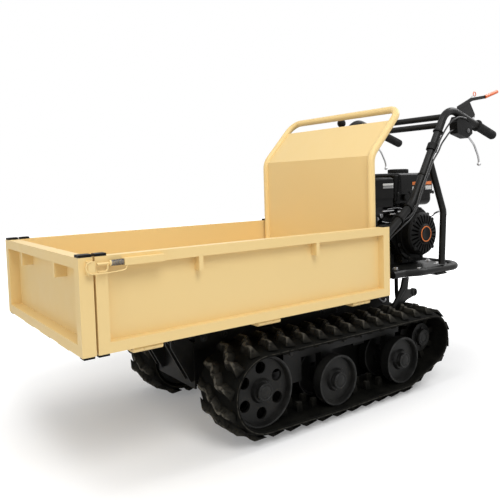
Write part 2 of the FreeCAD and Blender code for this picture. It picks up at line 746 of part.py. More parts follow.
def make_sprockets():
    """Toothed drive wheels; one tooth pitch on the belt's middle line is one lug pitch."""
    teeth = int(V["sprocket_teeth"])
    tip = float(V["sprocket_radius"] - V["pin_play"])
    valley = tip - 22
    points = []
    step = 2 * math.pi / teeth
    for number in range(teeth):
        for offset, reach in ((-0.36, valley), (-0.16, tip), (0.16, tip), (0.36, valley)):
            angle = step * (number + 0.5 + offset)
            points.append(Vector(reach * math.cos(angle), 0, reach * math.sin(angle)))
    outline = Part.Wire(Part.makePolygon(points + points[:1]))
    width = 16.0
    disc = Part.Face(outline).extrude(Vector(0, width, 0))
    toothed = shaped("sprocket_disc", disc)
    x = back(V["sprocket_at"])
    put(toothed, x, track_middle - width / 2, V["sprocket_height"])
    hub = turned("sprocket_hub", [
        (0, track_middle - 42), (34, track_middle - 42), (34, track_middle + 26), (48, track_middle + 30),
        (48, track_middle + 37), (30, track_middle + 37), (28, track_middle + 50), (0, track_middle + 50),
    ], x, V["sprocket_height"])
    left = join("sprocket_left", toothed, hub)
    return [group("sprockets", left, mirrored("sprocket_right", left))]


def make_track_beams():
    half = V["beam_width"] / 2
    y = (track_middle - half, track_middle + half)
    bar = block("beam_bar", (back(V["sprocket_at"] - 90), back(V["idler_at"] + 112)), y,
                (V["beam_bottom"], V["beam_bottom"] + V["beam_height"]))
    pieces = [bar]
    holes = []
    for name, at in (("front", V["roller_front"]), ("rear", V["roller_rear"])):
        pieces.append(block("beam_leg_" + name, (back(at + 22), back(at - 22)), y,
                            (roller_height - 22, V["beam_bottom"])))
        holes.append(rod("beam_bore_" + name, "y", V["axle_radius"] + V["pin_play"],
                         V["beam_width"] + 2, back(at), y[0] - 1, roller_height))
    pieces.append(block("beam_arm", (back(V["idler_at"] + 120), back(V["idler_at"] - 24)), y,
                        (idler_height - 24, idler_height + 24)))
    pieces.append(block("beam_arm_riser", (back(V["idler_at"] + 180), back(V["idler_at"] + 96)), y,
                        (idler_height - 24, V["beam_bottom"])))
    holes.append(rod("beam_bore_idler", "y", V["axle_radius"] + V["pin_play"], V["beam_width"] + 2,
                     back(V["idler_at"]), y[0] - 1, idler_height))
    left = cut("track_beam_left", join("beam_solid", *pieces), *holes)
    return [group("track_beams", left, mirrored("track_beam_right", left))]


# Chassis between the tracks
def make_chassis():
    rail_bottom = V["rail_top"] - V["rail_depth"]
    half = V["rail_width"] / 2
    pieces = []
    for side in (1, -1):
        centre = side * V["bed_rail_at"]
        mark = "left" if side == 1 else "right"
        pieces.append(block("chassis_rail_" + mark, (aft(V["rail_rear"]), back(V["rail_front"])),
                            (centre - half, centre + half), (rail_bottom, V["rail_top"])))
    front = V["rail_front"]
    pieces.append(block("front_plate", (back(front), back(front - 6)), (-112, 112), (126, 262)))
    inner = track_middle - V["beam_width"] / 2
    beam_z = (V["beam_bottom"] - 18, V["beam_bottom"] + 18)
    for number, at in enumerate((640, 930)):
        pieces.append(block("cross_tube_%d" % number, (back(at + 50), back(at)), (-inner, inner), beam_z))
        pieces.append(block("cross_riser_%d" % number, (back(at + 50), back(at)), (-112, 112),
                            (V["beam_bottom"], rail_bottom + 20)))
    return [join("chassis_frame", *(pieces + make_pivot_ears()))]


def make_pivot_ears():
    """Clevis ears at the front, with the pins that the bed tips on."""
    pieces = []
    gap = V["lug_thickness"] / 2 + 6
    thick = 8
    front = V["rail_front"] - 6
    ears = []
    for number, low in enumerate((V["bed_rail_at"] - gap - thick, V["bed_rail_at"] + gap)):
        outline = [
            (back(front), 150),
            (back(front), 262),
            (back(V["pivot_at"] + 17), V["pivot_height"] + 7),
            (back(V["pivot_at"] + 7), V["pivot_height"] + 17),
            (back(V["pivot_at"] - 7), V["pivot_height"] + 17),
            (back(V["pivot_at"] - 17), V["pivot_height"] + 7),
            (back(V["pivot_at"] - 17), V["pivot_height"] - 20),
            (back(front - 12), 150),
        ]
        ears.append(plate("pivot_ear_%d" % number, "XZ", outline, low, thick))
    pin = rod("pivot_pin", "y", V["pivot_radius"], gap * 2 + thick * 2 + 8, back(V["pivot_at"]),
              V["bed_rail_at"] - gap - thick - 4, V["pivot_height"])
    left = join("pivot_left", *(ears + [pin]))
    pieces.append(left)
    pieces.append(mirrored("pivot_right", left))
    return pieces


def make_gearbox():
    at = V["sprocket_at"]
    height = V["sprocket_height"]
    case = block("gearbox_case", (back(at + 85), back(at - 75)), (-70, 70), (height - 55, height + 79))
    pieces = [case]
    reach = track_middle - 42 - 70
    for side in (1, -1):
        start = 70 if side == 1 else -(reach + 70)
        pieces.append(rod("axle_tube_%d" % side, "y", 30, reach, back(at), start, height))
    return [join("gearbox", *pieces)]


# Engine deck and bumper
def make_deck():
    top = V["deck_top"]
    under = top - V["deck_sheet"]
    half = V["deck_half"]
    wide = V["bar_half"] - V["bumper_radius"] - V["pin_play"]
    edge = [
        (aft(V["deck_front"]), half),
        (aft(V["bumper_front"] - 22), half),
        (aft(V["bumper_front"] + 40), wide),
        (aft(V["bumper_rear"] - 71), wide),
        (aft(V["deck_rear"]), wide - 43),
    ]
    skin = plate("deck_skin", "XY", edge + [(x, -y) for x, y in reversed(edge)], under, V["deck_sheet"])
    frame = []
    deep = 40
    for number, centre in enumerate((-V["bed_rail_at"], V["bed_rail_at"])):
        y = (centre - 15, centre + 15)
        frame.append(block("deck_rail_%d" % number, (aft(V["deck_rear"] - 30), aft(V["deck_front"])), y,
                           (under - deep, under)))
        for place, end in (("front", V["deck_front"] + 55), ("rear", V["rail_rear"] - 10)):
            frame.append(block("deck_leg_%s_%d" % (place, number), (aft(end), aft(end - 40)), y,
                               (V["rail_top"], under - deep)))
    frame.append(block("handle_beam", (aft(BAR_ROUTE[0][0] + 20), aft(BAR_ROUTE[0][0] - 20)),
                       (-V["bar_half"] - 15, V["bar_half"] + 15), (under - deep, under)))
    seat_x = (aft(V["bumper_rear"] - 106), aft(V["bumper_rear"] - 166))
    seat_z = top - 6 - V["bumper_radius"] - V["pin_play"]
    seat = block("bumper_seat", seat_x, (half - 6, V["bar_half"] + 8), (seat_z - 6, seat_z))
    riser = block("bumper_seat_riser", seat_x, (half - 6, half + 6), (seat_z - 6, under))
    left = join("bumper_seat_left", seat, riser)
    frame += [left, mirrored("bumper_seat_right", left)]
    return [join("engine_deck", skin, *frame)]


def make_bumper():
    radius = float(V["bumper_radius"])
    front = float(aft(V["bumper_front"]))
    rear = float(aft(V["bumper_rear"]))
    side = float(V["bar_half"])
    z = float(V["deck_top"]) - 6
    clear = float(V["deck_half"]) + radius + float(V["pin_play"])
    route = []
    for sign in (1, -1):
        leg = [
            Vector(front + 90, sign * clear, z),
            Vector(front + 30, sign * clear, z),
            Vector(front - 30, sign * side, z),
            Vector(rear, sign * side, z),
        ]
        route += leg if sign == 1 else leg[::-1]
    return [shaped("bumper_tube", bent_rod(route, (60, 60, 70, 70, 60, 60), radius))]


# Handlebars: distance behind the bed's rear end and height of the tube's corners
BAR_ROUTE = (
    (42, 382),
    (42, 500),
    (110, 548),
    (222, 630),
    (425, 975),
    (725, 878),
)


def behind(distance, left, height):
    return Vector(float(aft(distance)), float(left), float(height))


def bar_points(sign):
    return [behind(at, sign * float(V["bar_half"]), height) for at, height in BAR_ROUTE]


def make_handlebars():
    radius = float(V["bar_radius"])
    bars = {}
    for mark, sign in (("left", 1), ("right", -1)):
        tube = bent_rod(bar_points(sign), (60, 60, 90, 70), radius)
        bars[mark] = shaped("handlebar_" + mark, tube)
    return bars


def make_braces(bars):
    made = []
    for mark, sign in (("left", 1), ("right", -1)):
        route = [behind(at, sign * float(V["bar_half"]), height)
                 for at, height in ((316, 790), (398, 592), (386, 396))]
        tube = shaped("brace_tube_" + mark, bent_rod(route, (50,), 12))
        made.append(cut("brace_" + mark, tube, bars[mark]))
    return made


def make_crossbars(bars):
    rods = []
    for number, (at, height) in enumerate(((403, 938), (385, 907))):
        bar = rod("crossbar_rod_%d" % number, "y", 11, V["bar_half"] * 2, aft(at), -V["bar_half"], height)
        rods.append(cut("crossbar_%d" % number, bar, bars["left"], bars["right"]))
    return [group("crossbars", *rods)]


def make_grips():
    made = []
    for sign in (1, -1):
        end = bar_points(sign)[-1]
        way = (end - bar_points(sign)[-2]).normalize()
        grip = Part.makeCylinder(18, 118, end - way * 112, way)
        flange = Part.makeCylinder(23, 6, end - way * 112, way)
        core = Part.makeCylinder(float(V["bar_radius"]) + 0.1, 113, end - way * 113, way)
        made.append(shaped("grip_%d" % sign, grip.fuse(flange).cut(core)))
    return [group("grips", *made)]


def make_controls(bars):
    """Levers at the grips and the gear lever behind the headboard."""
    side = float(V["bar_half"])
    housings = []
    levers = []
    for mark, sign in (("left", 1), ("right", -1)):
        outline = [(aft(476), 942), (aft(556), 914), (aft(560), 880), (aft(530), 862), (aft(466), 878),
                   (aft(462), 920)]
        body = plate("lever_body_" + mark, "XZ", outline, sign * side - 17, 34)
        tube_way = (bar_points(sign)[4] - bar_points(sign)[3]).normalize()
        collar_start = bar_points(sign)[3] + tube_way * 214
        collar = shaped("collar_ring_" + mark, Part.makeCylinder(20, 24, collar_start, tube_way))
        housings.append(cut("lever_housing_" + mark, body, bars[mark]))
        housings.append(cut("collar_" + mark, collar, bars[mark]))
        route = [behind(at, sign * side, height)
                 for at, height in ((532, 890), (597, 838), (626, 790), (628, 765))]
        blade = shaped("lever_blade_" + mark, bent_rod(route, (60, 60), 4))
        ball = shaped("lever_ball_" + mark, Part.makeSphere(8, route[-1]))
        levers.append(cut("brake_lever_" + mark, join("lever_whole_" + mark, blade, ball), body))
    outline = [(aft(500), 938), (aft(500), 984), (aft(560), 1010), (aft(600), 956), (aft(590), 926)]
    bracket = cut("lever_bracket", plate("bracket_plate", "XZ", outline, side - 2, 4), bars["left"])
    arm = [(aft(483), 968), (aft(483), 980), (aft(570), 1017), (aft(662), 1032), (aft(662), 1020),
           (aft(574), 1005)]
    lever = cut("drive_lever", plate("lever_plate", "XZ", arm, side + 2, 6), bars["left"])
    reach = float(V["rear_length"]) - 662
    tilt = math.atan2(27, reach)
    radius = 7
    way = Vector(-math.cos(tilt), 0, math.sin(tilt))
    length = (reach - radius * math.sin(tilt)) / math.cos(tilt)
    sleeve = shaped("lever_sleeve", Part.makeCylinder(radius, length, behind(662, side + 5, 1026), way))
    sleeve = cut("drive_sleeve", sleeve, lever)
    stalk = [behind(at, -50, height) for at, height in ((85, float(V["deck_top"])), (85, 740), (165, 925))]
    gear = shaped("gear_stalk", bent_rod(stalk, (80,), 6))
    knob = shaped("gear_knob", Part.makeSphere(16, stalk[-1] + Vector(0, 0, 8)))
    return [group("lever_housings", *housings), group("brake_levers", *levers), bracket, lever,
            sleeve, gear, cut("gear_ball", knob, gear)]


# Control cables: distance behind the bed's rear end, left of the middle and height of their corners.
# The strapped corners are measured left of the handlebar tube's middle, the free ones left of the machine's.
BRAKE_STRAPPED = (
    (464.2, 5, 893), (430, 11, 887), (394, 17, 862), (364, 18, 836), (350, 18, 812), (322, 15, 780),
    (286.5, 15, 720), (251, 15, 659.5), (234, 15, 622), (208, 9, 580),
)
BRAKE_FREE = ((172, 226, 546), (140, 204, 512), (120, 186, 474), (110, 174, 430), (108, 168, 386.3))
DRIVE_STRAPPED = (
    (512, 21.5, 934), (470, 21.5, 940), (420, 21.5, 922), (382, 22, 888), (347, 23, 846.5),
    (335, 25.2, 826), (316.5, 18, 795), (276, 18, 726), (240.5, 18, 665.5), (225, 19, 630),
    (200, 12, 586),
)
DRIVE_FREE = (
    (168, 224, 566), (134, 204, 536), (112, 186, 500), (94, 170, 462), (86, 162, 422), (84, 158, 386.3),
)


def route_radii(points):
    """The largest arcs that a cable's runs allow."""
    radii = []
    for before, here, after in zip(points, points[1:], points[2:]):
        turn = math.pi - (before - here).getAngle(after - here)
        shorter = min((before - here).Length, (after - here).Length)
        radii.append(0.45 * shorter / math.tan(turn / 2))
    return radii


def make_cables():
    """Brake cables from both grips and the drive cable, strapped to the handlebars, and the pull cord."""
    strands = []
    side = float(V["bar_half"])
    for name, strapped, free, sides in (("brake", BRAKE_STRAPPED, BRAKE_FREE, (1, -1)),
                                        ("drive", DRIVE_STRAPPED, DRIVE_FREE, (1,))):
        for sign in sides:
            points = [behind(at, sign * (side + out), height) for at, out, height in strapped]
            points += [behind(at, sign * left, height) for at, left, height in free]
            radii = route_radii(points)
            radius = float(V["cable_radius"])
            strand = bent_rod(points, radii, radius)
            path = round_path(points, radii)
            print("%s cable: length %.0f mm, smallest arc %.0f mm, volume share %.3f"
                  % (name, path.Length, min(radii), strand.Volume / (path.Length * math.pi * radius ** 2)))
            strands.append(shaped("%s_cable_%d" % (name, sign), strand))
    return [group("cables", *strands)]


# Engine: a slanted single with a fan housing, a recoil starter, a tank, an air filter and a muffler
def make_engine():
    at = V["crank_at"]
    height = V["crank_height"]
    top = V["deck_top"]
    case = eased("crankcase", block("crankcase_block", (aft(at + 84), aft(at - 84)),
                                    (-105, V["blower_inner"]), (top + 8, height + 60)), 14,
                 lambda edge: along(edge, Vector(0, 1, 0)))
    feet = block("engine_feet", (aft(at + 92), aft(at - 96)), (-92, 62), (top, top + 8))
    barrel = rod("cylinder_barrel", "x", 36, 150, 20, 0, 0)
    fins = [block("fin_%d" % number, (88 + number * 9, 91 + number * 9), (-52, 52), (-50, 50))
            for number in range(7)]
    head = block("cylinder_head", (152, 178), (-52, 52), (-50, 50))
    cylinder = join("cylinder", barrel, head, *fins)
    slant = Rotation(Vector(0, 1, 0), -20)
    put(cylinder, aft(at), -22, height, slant)
    shaft = rod("output_shaft", "y", 12, 50, aft(at), -150, height)
    flange = rod("shaft_flange", "y", 46, 12, aft(at), -117, height)
    seats = [block("tank_seat_%d" % number, (aft(place + 30), aft(place)), (-50, 62),
                   (height + 56, V["tank_bottom"]))
             for number, place in enumerate((at - 70, at + 30))]
    return [join("engine_block", case, feet, cylinder, shaft, flange, *seats)]


def make_blower():
    """Fan housing and recoil starter cover with its ring of radial cooling slots."""
    at = V["crank_at"]
    height = V["crank_height"]
    inner = V["blower_inner"]
    outer = V["blower_outer"]
    drum = rod("blower_drum", "y", V["blower_radius"], outer - inner, aft(at), inner, height)
    outline = [
        (aft(at), height + V["blower_radius"]),
        (aft(at - 90), height + V["blower_radius"] - 9),
        (aft(at - 162), height + 28),
        (aft(at - 152), height + 6),
        (aft(at - 74), height - 80),
        (aft(at), height - 20),
    ]
    duct = plate("blower_duct", "XZ", outline, inner, outer - inner - 6)
    skirt = block("blower_skirt", (aft(at + 60), aft(at - 66)), (inner, outer - 8),
                  (V["deck_top"] + 8, height - 60))
    housing = join("blower_housing", drum, duct, skirt)
    rim = V["cover_radius"]
    face = V["cover_face"]
    dome = turned("cover_dome", [
        (0, outer), (rim + 8, outer), (rim + 8, outer + 6), (rim, outer + 6), (rim, face - 16),
        (rim - 4, face - 9), (rim - 12, face - 4), (36, face), (33, face + 4), (0, face + 4),
    ], aft(at), height)
    slots = []
    count = int(V["cover_louvres"])
    for number in range(count):
        slot = doc.addObject("Part::Box", "louvre_%d" % number)
        slot.Length = 34
        slot.Width = 22
        slot.Height = 7
        bind(slot, "Length", rim - 48)
        turn = Rotation(Vector(0, 1, 0), 360.0 * number / count)
        corner = turn.multVec(Vector(40, 0, -3.5))
        put(slot, aft(at) + corner.x, face - 14, height + corner.z, turn)
        slots.append(slot)
    cover = cut("starter_cover", dome, *slots)
    return [housing, cover]


def make_tank():
    """A two-part pressed tank with a rolled seam and a rounded underside."""
    x = (aft(V["tank_rear"]), aft(V["tank_front"]))
    y = (-62, 130)
    inset = 7
    upper = eased("tank_upper", block("tank_upper_block", x, y, (V["tank_seam"], V["tank_top"])), 30,
                  lambda edge: along(edge, Vector(0, 0, 1)))
    crown = eased("tank_crown", upper, 14, lambda edge: edge.CenterOfMass.z > V["tank_top"] - 1)
    lower = eased("tank_lower", block("tank_lower_block", (x[0] + inset, x[1] - inset),
                                      (y[0] + inset, y[1] - inset), (V["tank_bottom"], V["tank_seam"])), 24,
                  lambda edge: edge.CenterOfMass.z < V["tank_seam"] - 1)
    seam = eased("tank_rim", block("tank_rim_block", (x[0] - 3, x[1] + 3), (y[0] - 3, y[1] + 3),
                                   (V["tank_seam"] - 3, V["tank_seam"] + 2)), 33,
                 lambda edge: along(edge, Vector(0, 0, 1)))
    cap_x = aft(375)
    cap = rod("cap_skirt", "z", 40, 14, cap_x, 45, V["tank_top"])
    neck = rod("cap_top", "z", 34, 17, cap_x, 45, V["tank_top"])
    return [join("fuel_tank", crown, lower, seam), join("tank_cap", cap, neck)]


def make_engine_extras(engine):
    """Air filter, muffler, and the carburettor between the filter and the cylinder."""
    filter_x = (aft(V["tank_front"] - 6), aft(V["tank_front"] - 137))
    lid = eased("filter_lid", block("filter_lid_block", filter_x, (15, 128), (646, 722)), 12,
                lambda edge: along(edge, Vector(0, 0, 1)) or edge.CenterOfMass.z > 721)
    base = block("filter_base", (filter_x[0] + 5, filter_x[1] - 5), (20, 123), (614, 646))
    air = join("air_filter", lid, base)
    muffler = eased("muffler", block("muffler_block", (aft(232), aft(112)), (-135, 5), (616, 716)), 16,
                    lambda edge: along(edge, Vector(0, 1, 0)))
    barrel = rod("carburettor_barrel", "x", 20, 70, aft(250), 60, 588)
    bowl = rod("carburettor_bowl", "z", 21, 46, aft(205), 60, 544)
    elbow = block("intake_elbow", (aft(225), aft(180)), (40, 96), (588, 614))
    shelf = block("throttle_plate", (aft(245), aft(165)), (78, 98), (600, 604))
    port = rod("exhaust_port", "z", 15, 60, aft(195), -60, 556)
    arm = block("manifold", (aft(228), aft(180)), (-75, 60), (562, 584))
    whole = join("carburettor_whole", barrel, bowl, elbow, shelf, port, arm)
    return [air, muffler, cut("carburettor_body", whole, engine)]


PARTS = []
for maker in (make_floor, make_bed_rails, make_headboard, make_gate, make_sides):
    PARTS += maker()
handlebars = make_handlebars()
PARTS += list(handlebars.values())
PARTS += make_braces(handlebars)
PARTS += make_crossbars(handlebars)
PARTS += make_controls(handlebars)
PARTS += make_cables()
PARTS += make_latches()
for maker in (make_tracks, make_idlers, make_rollers, make_sprockets, make_track_beams, make_chassis,
              make_gearbox, make_deck, make_bumper, make_grips, make_engine):
    PARTS += maker()
engine_block = PARTS[-1]
PARTS += make_blower()
PARTS += make_tank()
PARTS += make_engine_extras(engine_block)

doc.recompute()
faults = []
for thing in doc.Objects:
    if "Invalid" in thing.State or "Error" in thing.State:
        faults.append("%s: %s" % (thing.Name, thing.State))
for part in PARTS:
    part.Label = part.Name
    if part.Shape.isNull() or not part.Shape.isValid():
        faults.append("%s: bad shape" % part.Name)
if faults:
    raise RuntimeError("; ".join(faults))

os.makedirs("parts", exist_ok=True)
for part in PARTS:
    part.Shape.exportStep("parts/%s.step" % part.Name)
box = Part.makeCompound([part.Shape for part in PARTS]).BoundBox
print("nodes %d, box x %.1f %.1f y %.1f %.1f z %.1f %.1f"
      % (len(PARTS), box.XMin, box.XMax, box.YMin, box.YMax, box.ZMin, box.ZMax))
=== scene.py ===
import json
import math

import bmesh
import bpy
from mathutils import Matrix, Vector


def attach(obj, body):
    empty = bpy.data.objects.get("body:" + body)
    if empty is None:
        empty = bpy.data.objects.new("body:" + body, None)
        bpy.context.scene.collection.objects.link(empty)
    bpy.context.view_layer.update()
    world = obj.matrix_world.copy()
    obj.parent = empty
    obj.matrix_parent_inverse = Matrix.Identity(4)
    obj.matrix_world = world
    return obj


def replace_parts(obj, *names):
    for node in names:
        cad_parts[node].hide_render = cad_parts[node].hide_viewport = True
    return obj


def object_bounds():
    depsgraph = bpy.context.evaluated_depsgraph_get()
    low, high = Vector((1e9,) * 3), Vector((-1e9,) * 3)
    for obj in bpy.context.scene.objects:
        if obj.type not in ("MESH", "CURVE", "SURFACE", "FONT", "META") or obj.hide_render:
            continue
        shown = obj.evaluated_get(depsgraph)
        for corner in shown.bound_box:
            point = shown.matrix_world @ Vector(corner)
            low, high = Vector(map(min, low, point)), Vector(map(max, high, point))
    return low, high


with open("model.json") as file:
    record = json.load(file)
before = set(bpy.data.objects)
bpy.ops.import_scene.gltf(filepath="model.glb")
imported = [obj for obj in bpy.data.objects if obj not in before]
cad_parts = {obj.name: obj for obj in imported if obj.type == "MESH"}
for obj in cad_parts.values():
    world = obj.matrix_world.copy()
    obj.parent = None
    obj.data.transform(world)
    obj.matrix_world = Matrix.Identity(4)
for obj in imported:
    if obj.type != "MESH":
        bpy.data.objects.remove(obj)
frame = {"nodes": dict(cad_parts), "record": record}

# Tracked walk-behind crawler carrier. Metres, +X towards the gate, +Y to the machine's left, +Z up.
cad_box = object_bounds()
MM = 0.001
NOSE = cad_box[1].x


def spot(behind, left, height):
    """A place given in millimetres: behind the gate's face, left of the middle, above the ground."""
    return Vector((NOSE - behind * MM, left * MM, height * MM))


# Camera, at the place and angle that the photograph was taken from
CAMERA_PLACE = Vector((1.2901, 1.5377, 0.7169))
CAMERA_YAW = math.radians(-126.4)
CAMERA_PITCH = math.radians(-3.7)
CAMERA_ROLL = math.radians(-1.6)
CAMERA_LENS = 41.44
CAMERA_SHIFT = (-0.0152, -0.0606)


def set_camera():
    ahead = Vector((math.cos(CAMERA_YAW) * math.cos(CAMERA_PITCH),
                    math.sin(CAMERA_YAW) * math.cos(CAMERA_PITCH),
                    math.sin(CAMERA_PITCH)))
    level_right = ahead.cross(Vector((0, 0, 1))).normalized()
    level_up = level_right.cross(ahead)
    right = level_right * math.cos(CAMERA_ROLL) + level_up * math.sin(CAMERA_ROLL)
    up = level_up * math.cos(CAMERA_ROLL) - level_right * math.sin(CAMERA_ROLL)
    lens = bpy.data.cameras.new("photo_camera")
    lens.lens = CAMERA_LENS
    lens.sensor_width = 36.0
    lens.shift_x, lens.shift_y = CAMERA_SHIFT
    lens.clip_start = 0.02
    camera = bpy.data.objects.new("photo_camera", lens)
    camera.matrix_world = Matrix.Translation(CAMERA_PLACE) @ Matrix((right, up, -ahead)).transposed().to_4x4()
    bpy.context.scene.collection.objects.link(camera)
    bpy.context.scene.camera = camera


# Studio: white to the camera, with soft lamps at a plain level
FLOOR_TONE = (0.80, 0.80, 0.80, 1.0)


def white_to_camera(tree, lit, strength=1.0):
    """Mixes a lit shader with plain white for rays that come straight from the camera."""
    nodes, links = tree.nodes, tree.links
    path = nodes.new("ShaderNodeLightPath")
    glossy_or_camera = nodes.new("ShaderNodeMath")
    glossy_or_camera.operation = "MAXIMUM"
    links.new(path.outputs["Is Camera Ray"], glossy_or_camera.inputs[0])
    links.new(path.outputs["Is Glossy Ray"], glossy_or_camera.inputs[1])
    seen = nodes.new("ShaderNodeMath")
    seen.operation = "MAXIMUM"
    links.new(glossy_or_camera.outputs[0], seen.inputs[0])
    links.new(path.outputs["Is Transmission Ray"], seen.inputs[1])
    white = nodes.new("ShaderNodeBackground" if lit.bl_idname == "ShaderNodeBackground"
                      else "ShaderNodeEmission")
    white.inputs["Color"].default_value = (1, 1, 1, 1)
    white.inputs["Strength"].default_value = strength
    mix = nodes.new("ShaderNodeMixShader")
    links.new(seen.outputs[0], mix.inputs["Fac"])
    links.new(lit.outputs[0], mix.inputs[1])
    links.new(white.outputs[0], mix.inputs[2])
    return mix


def make_studio():
    world = bpy.data.worlds.new("studio")
    bpy.context.scene.world = world
    world.use_nodes = True
    world.node_tree.nodes.clear()
    sky = world.node_tree.nodes.new("ShaderNodeBackground")
    sky.inputs["Color"].default_value = (1.0, 1.0, 1.0, 1.0)
    sky.inputs["Strength"].default_value = 0.46
    out = world.node_tree.nodes.new("ShaderNodeOutputWorld")
    mix = white_to_camera(world.node_tree, sky)
    world.node_tree.links.new(mix.outputs[0], out.inputs["Surface"])

    sheet = bpy.data.meshes.new("floor")
    half = 8.0
    sheet.from_pydata([(-half, -half, 0), (half, -half, 0), (half, half, 0), (-half, half, 0)], [],
                      [(0, 1, 2, 3)])
    floor = bpy.data.objects.new("floor", sheet)
    bpy.context.scene.collection.objects.link(floor)
    paper = bpy.data.materials.new("studio_floor")
    paper.use_nodes = True
    tree = paper.node_tree
    tree.nodes.clear()
    diffuse = tree.nodes.new("ShaderNodeBsdfDiffuse")
    diffuse.inputs["Color"].default_value = FLOOR_TONE
    output = tree.nodes.new("ShaderNodeOutputMaterial")
    tree.links.new(white_floor(tree, diffuse).outputs[0], output.inputs["Surface"])
    sheet.materials.append(paper)

    for name, place, aim, size, power in (
        ("key", (0.9, 3.0, 3.5), (0.1, 0.0, 0.35), 2.4, 88.0),
        ("overhead", (1.0, 0.2, 3.0), (-0.1, 0.0, 0.5), 1.4, 19.0),
        ("fill", (3.8, 0.6, 1.6), (0.3, 0.0, 0.4), 2.6, 23.0),
        ("rim", (-3.0, 0.4, 2.8), (-0.4, 0.0, 0.5), 2.0, 45.0),
    ):
        lamp = bpy.data.lights.new(name, "AREA")
        lamp.shape = "DISK"
        lamp.size = size
        lamp.energy = power
        light = bpy.data.objects.new(name, lamp)
        way = Vector(aim) - Vector(place)
        light.location = place
        light.rotation_euler = way.to_track_quat("-Z", "Y").to_euler()
        bpy.context.scene.collection.objects.link(light)
    bpy.context.scene.view_settings.view_transform = "Standard"


def white_floor(tree, diffuse):
    """The floor is plain white to the camera away from the object, and keeps its shadow near it: camera rays
    see a painted glow that fades near the object into a painted shade round it.
    """
    nodes, links = tree.nodes, tree.links
    path = nodes.new("ShaderNodeLightPath")
    place = nodes.new("ShaderNodeTexCoord")
    reach = nodes.new("ShaderNodeVectorMath")
    reach.operation = "LENGTH"
    links.new(place.outputs["Object"], reach.inputs[0])
    # Painted glow for camera rays, 0.2 near the object rising to 1 far off: a painted shade round the object,
    # over its real shadow.
    lift = nodes.new("ShaderNodeMapRange")
    lift.interpolation_type = "SMOOTHSTEP"
    for socket, value in (("From Min", 0.6), ("From Max", 1.9), ("To Min", 0.20), ("To Max", 1.0)):
        lift.inputs[socket].default_value = value
    links.new(reach.outputs["Value"], lift.inputs["Value"])
    seen = nodes.new("ShaderNodeMath")
    seen.operation = "MULTIPLY"
    links.new(path.outputs["Is Camera Ray"], seen.inputs[0])
    links.new(lift.outputs["Result"], seen.inputs[1])
    glow = nodes.new("ShaderNodeEmission")
    glow.inputs["Color"].default_value = (1, 1, 1, 1)
    links.new(seen.outputs[0], glow.inputs["Strength"])
    add = nodes.new("ShaderNodeAddShader")
    links.new(diffuse.outputs[0], add.inputs[0])
    links.new(glow.outputs[0], add.inputs[1])
    return add


# Finishes
class Finish:
    """A material under construction: a principled shader and the nodes that feed it."""

    def __init__(self, name, colour, roughness, metallic=0.0, **sockets):
        self.material = bpy.data.materials.new(name)
        self.material.use_nodes = True
        tree = self.material.node_tree
        self.nodes, self.links = tree.nodes, tree.links
        self.shader = self.nodes["Principled BSDF"]
        self.shader.inputs["Base Color"].default_value = (*colour, 1.0)
        self.shader.inputs["Roughness"].default_value = roughness
        self.shader.inputs["Metallic"].default_value = metallic
        for socket, value in sockets.items():
            self.shader.inputs[socket.replace("_", " ")].default_value = value
        self.bumps = None
        place = self.nodes.new("ShaderNodeTexCoord")
        self.place = self.nodes.new("ShaderNodeMapping")
        self.links.new(place.outputs["Object"], self.place.inputs["Vector"])

    def stretched(self, scale):
        """The same coordinates, stretched along an axis."""
        mapping = self.nodes.new("ShaderNodeMapping")
        mapping.inputs["Scale"].default_value = scale
        self.links.new(self.place.outputs["Vector"], mapping.inputs["Vector"])
        return mapping

    def noise(self, scale, detail=3.0, place=None, rough=0.5):
        noise = self.nodes.new("ShaderNodeTexNoise")
        noise.inputs["Scale"].default_value = scale
        noise.inputs["Detail"].default_value = detail
        noise.inputs["Roughness"].default_value = rough
        self.links.new((place or self.place).outputs["Vector"], noise.inputs["Vector"])
        return noise.outputs["Fac"]

    def spread(self, value, low, high, out_low=0.0, out_high=1.0):
        """Maps a pattern's low to high onto out_low to out_high, held at both ends."""
        fit = self.nodes.new("ShaderNodeMapRange")
        fit.inputs["From Min"].default_value = low
        fit.inputs["From Max"].default_value = high
        fit.inputs["To Min"].default_value = out_low
        fit.inputs["To Max"].default_value = out_high
        self.links.new(value, fit.inputs["Value"])
        return fit.outputs["Result"]

    def product(self, first, second):
        times = self.nodes.new("ShaderNodeMath")
        times.operation = "MULTIPLY"
        self.links.new(first, times.inputs[0])
        self.links.new(second, times.inputs[1])
        return times.outputs[0]

    def attribute(self, name):
        read = self.nodes.new("ShaderNodeAttribute")
        read.attribute_name = name
        return read.outputs["Fac"]

    def tint(self, share, colour):
        """Lays another colour over the base colour, by a pattern."""
        mix = self.nodes.new("ShaderNodeMix")
        mix.data_type = "RGBA"
        base = self.shader.inputs["Base Color"]
        mix.inputs[7].default_value = (*colour, 1.0)
        if base.is_linked:
            self.links.new(base.links[0].from_socket, mix.inputs[6])
        else:
            mix.inputs[6].default_value = base.default_value
        self.links.new(share, mix.inputs[0])
        self.links.new(mix.outputs[2], base)

    def gloss(self, value, low, high):
        self.links.new(self.spread(value, 0.3, 0.7, low, high), self.shader.inputs["Roughness"])

    def bump(self, value, height):
        """Adds a relief of this height in metres."""
        bump = self.nodes.new("ShaderNodeBump")
        bump.inputs["Strength"].default_value = 1.0
        bump.inputs["Distance"].default_value = height
        self.links.new(value, bump.inputs["Height"])
        if self.bumps is not None:
            self.links.new(self.bumps.outputs["Normal"], bump.inputs["Normal"])
        self.links.new(bump.outputs["Normal"], self.shader.inputs["Normal"])
        self.bumps = bump


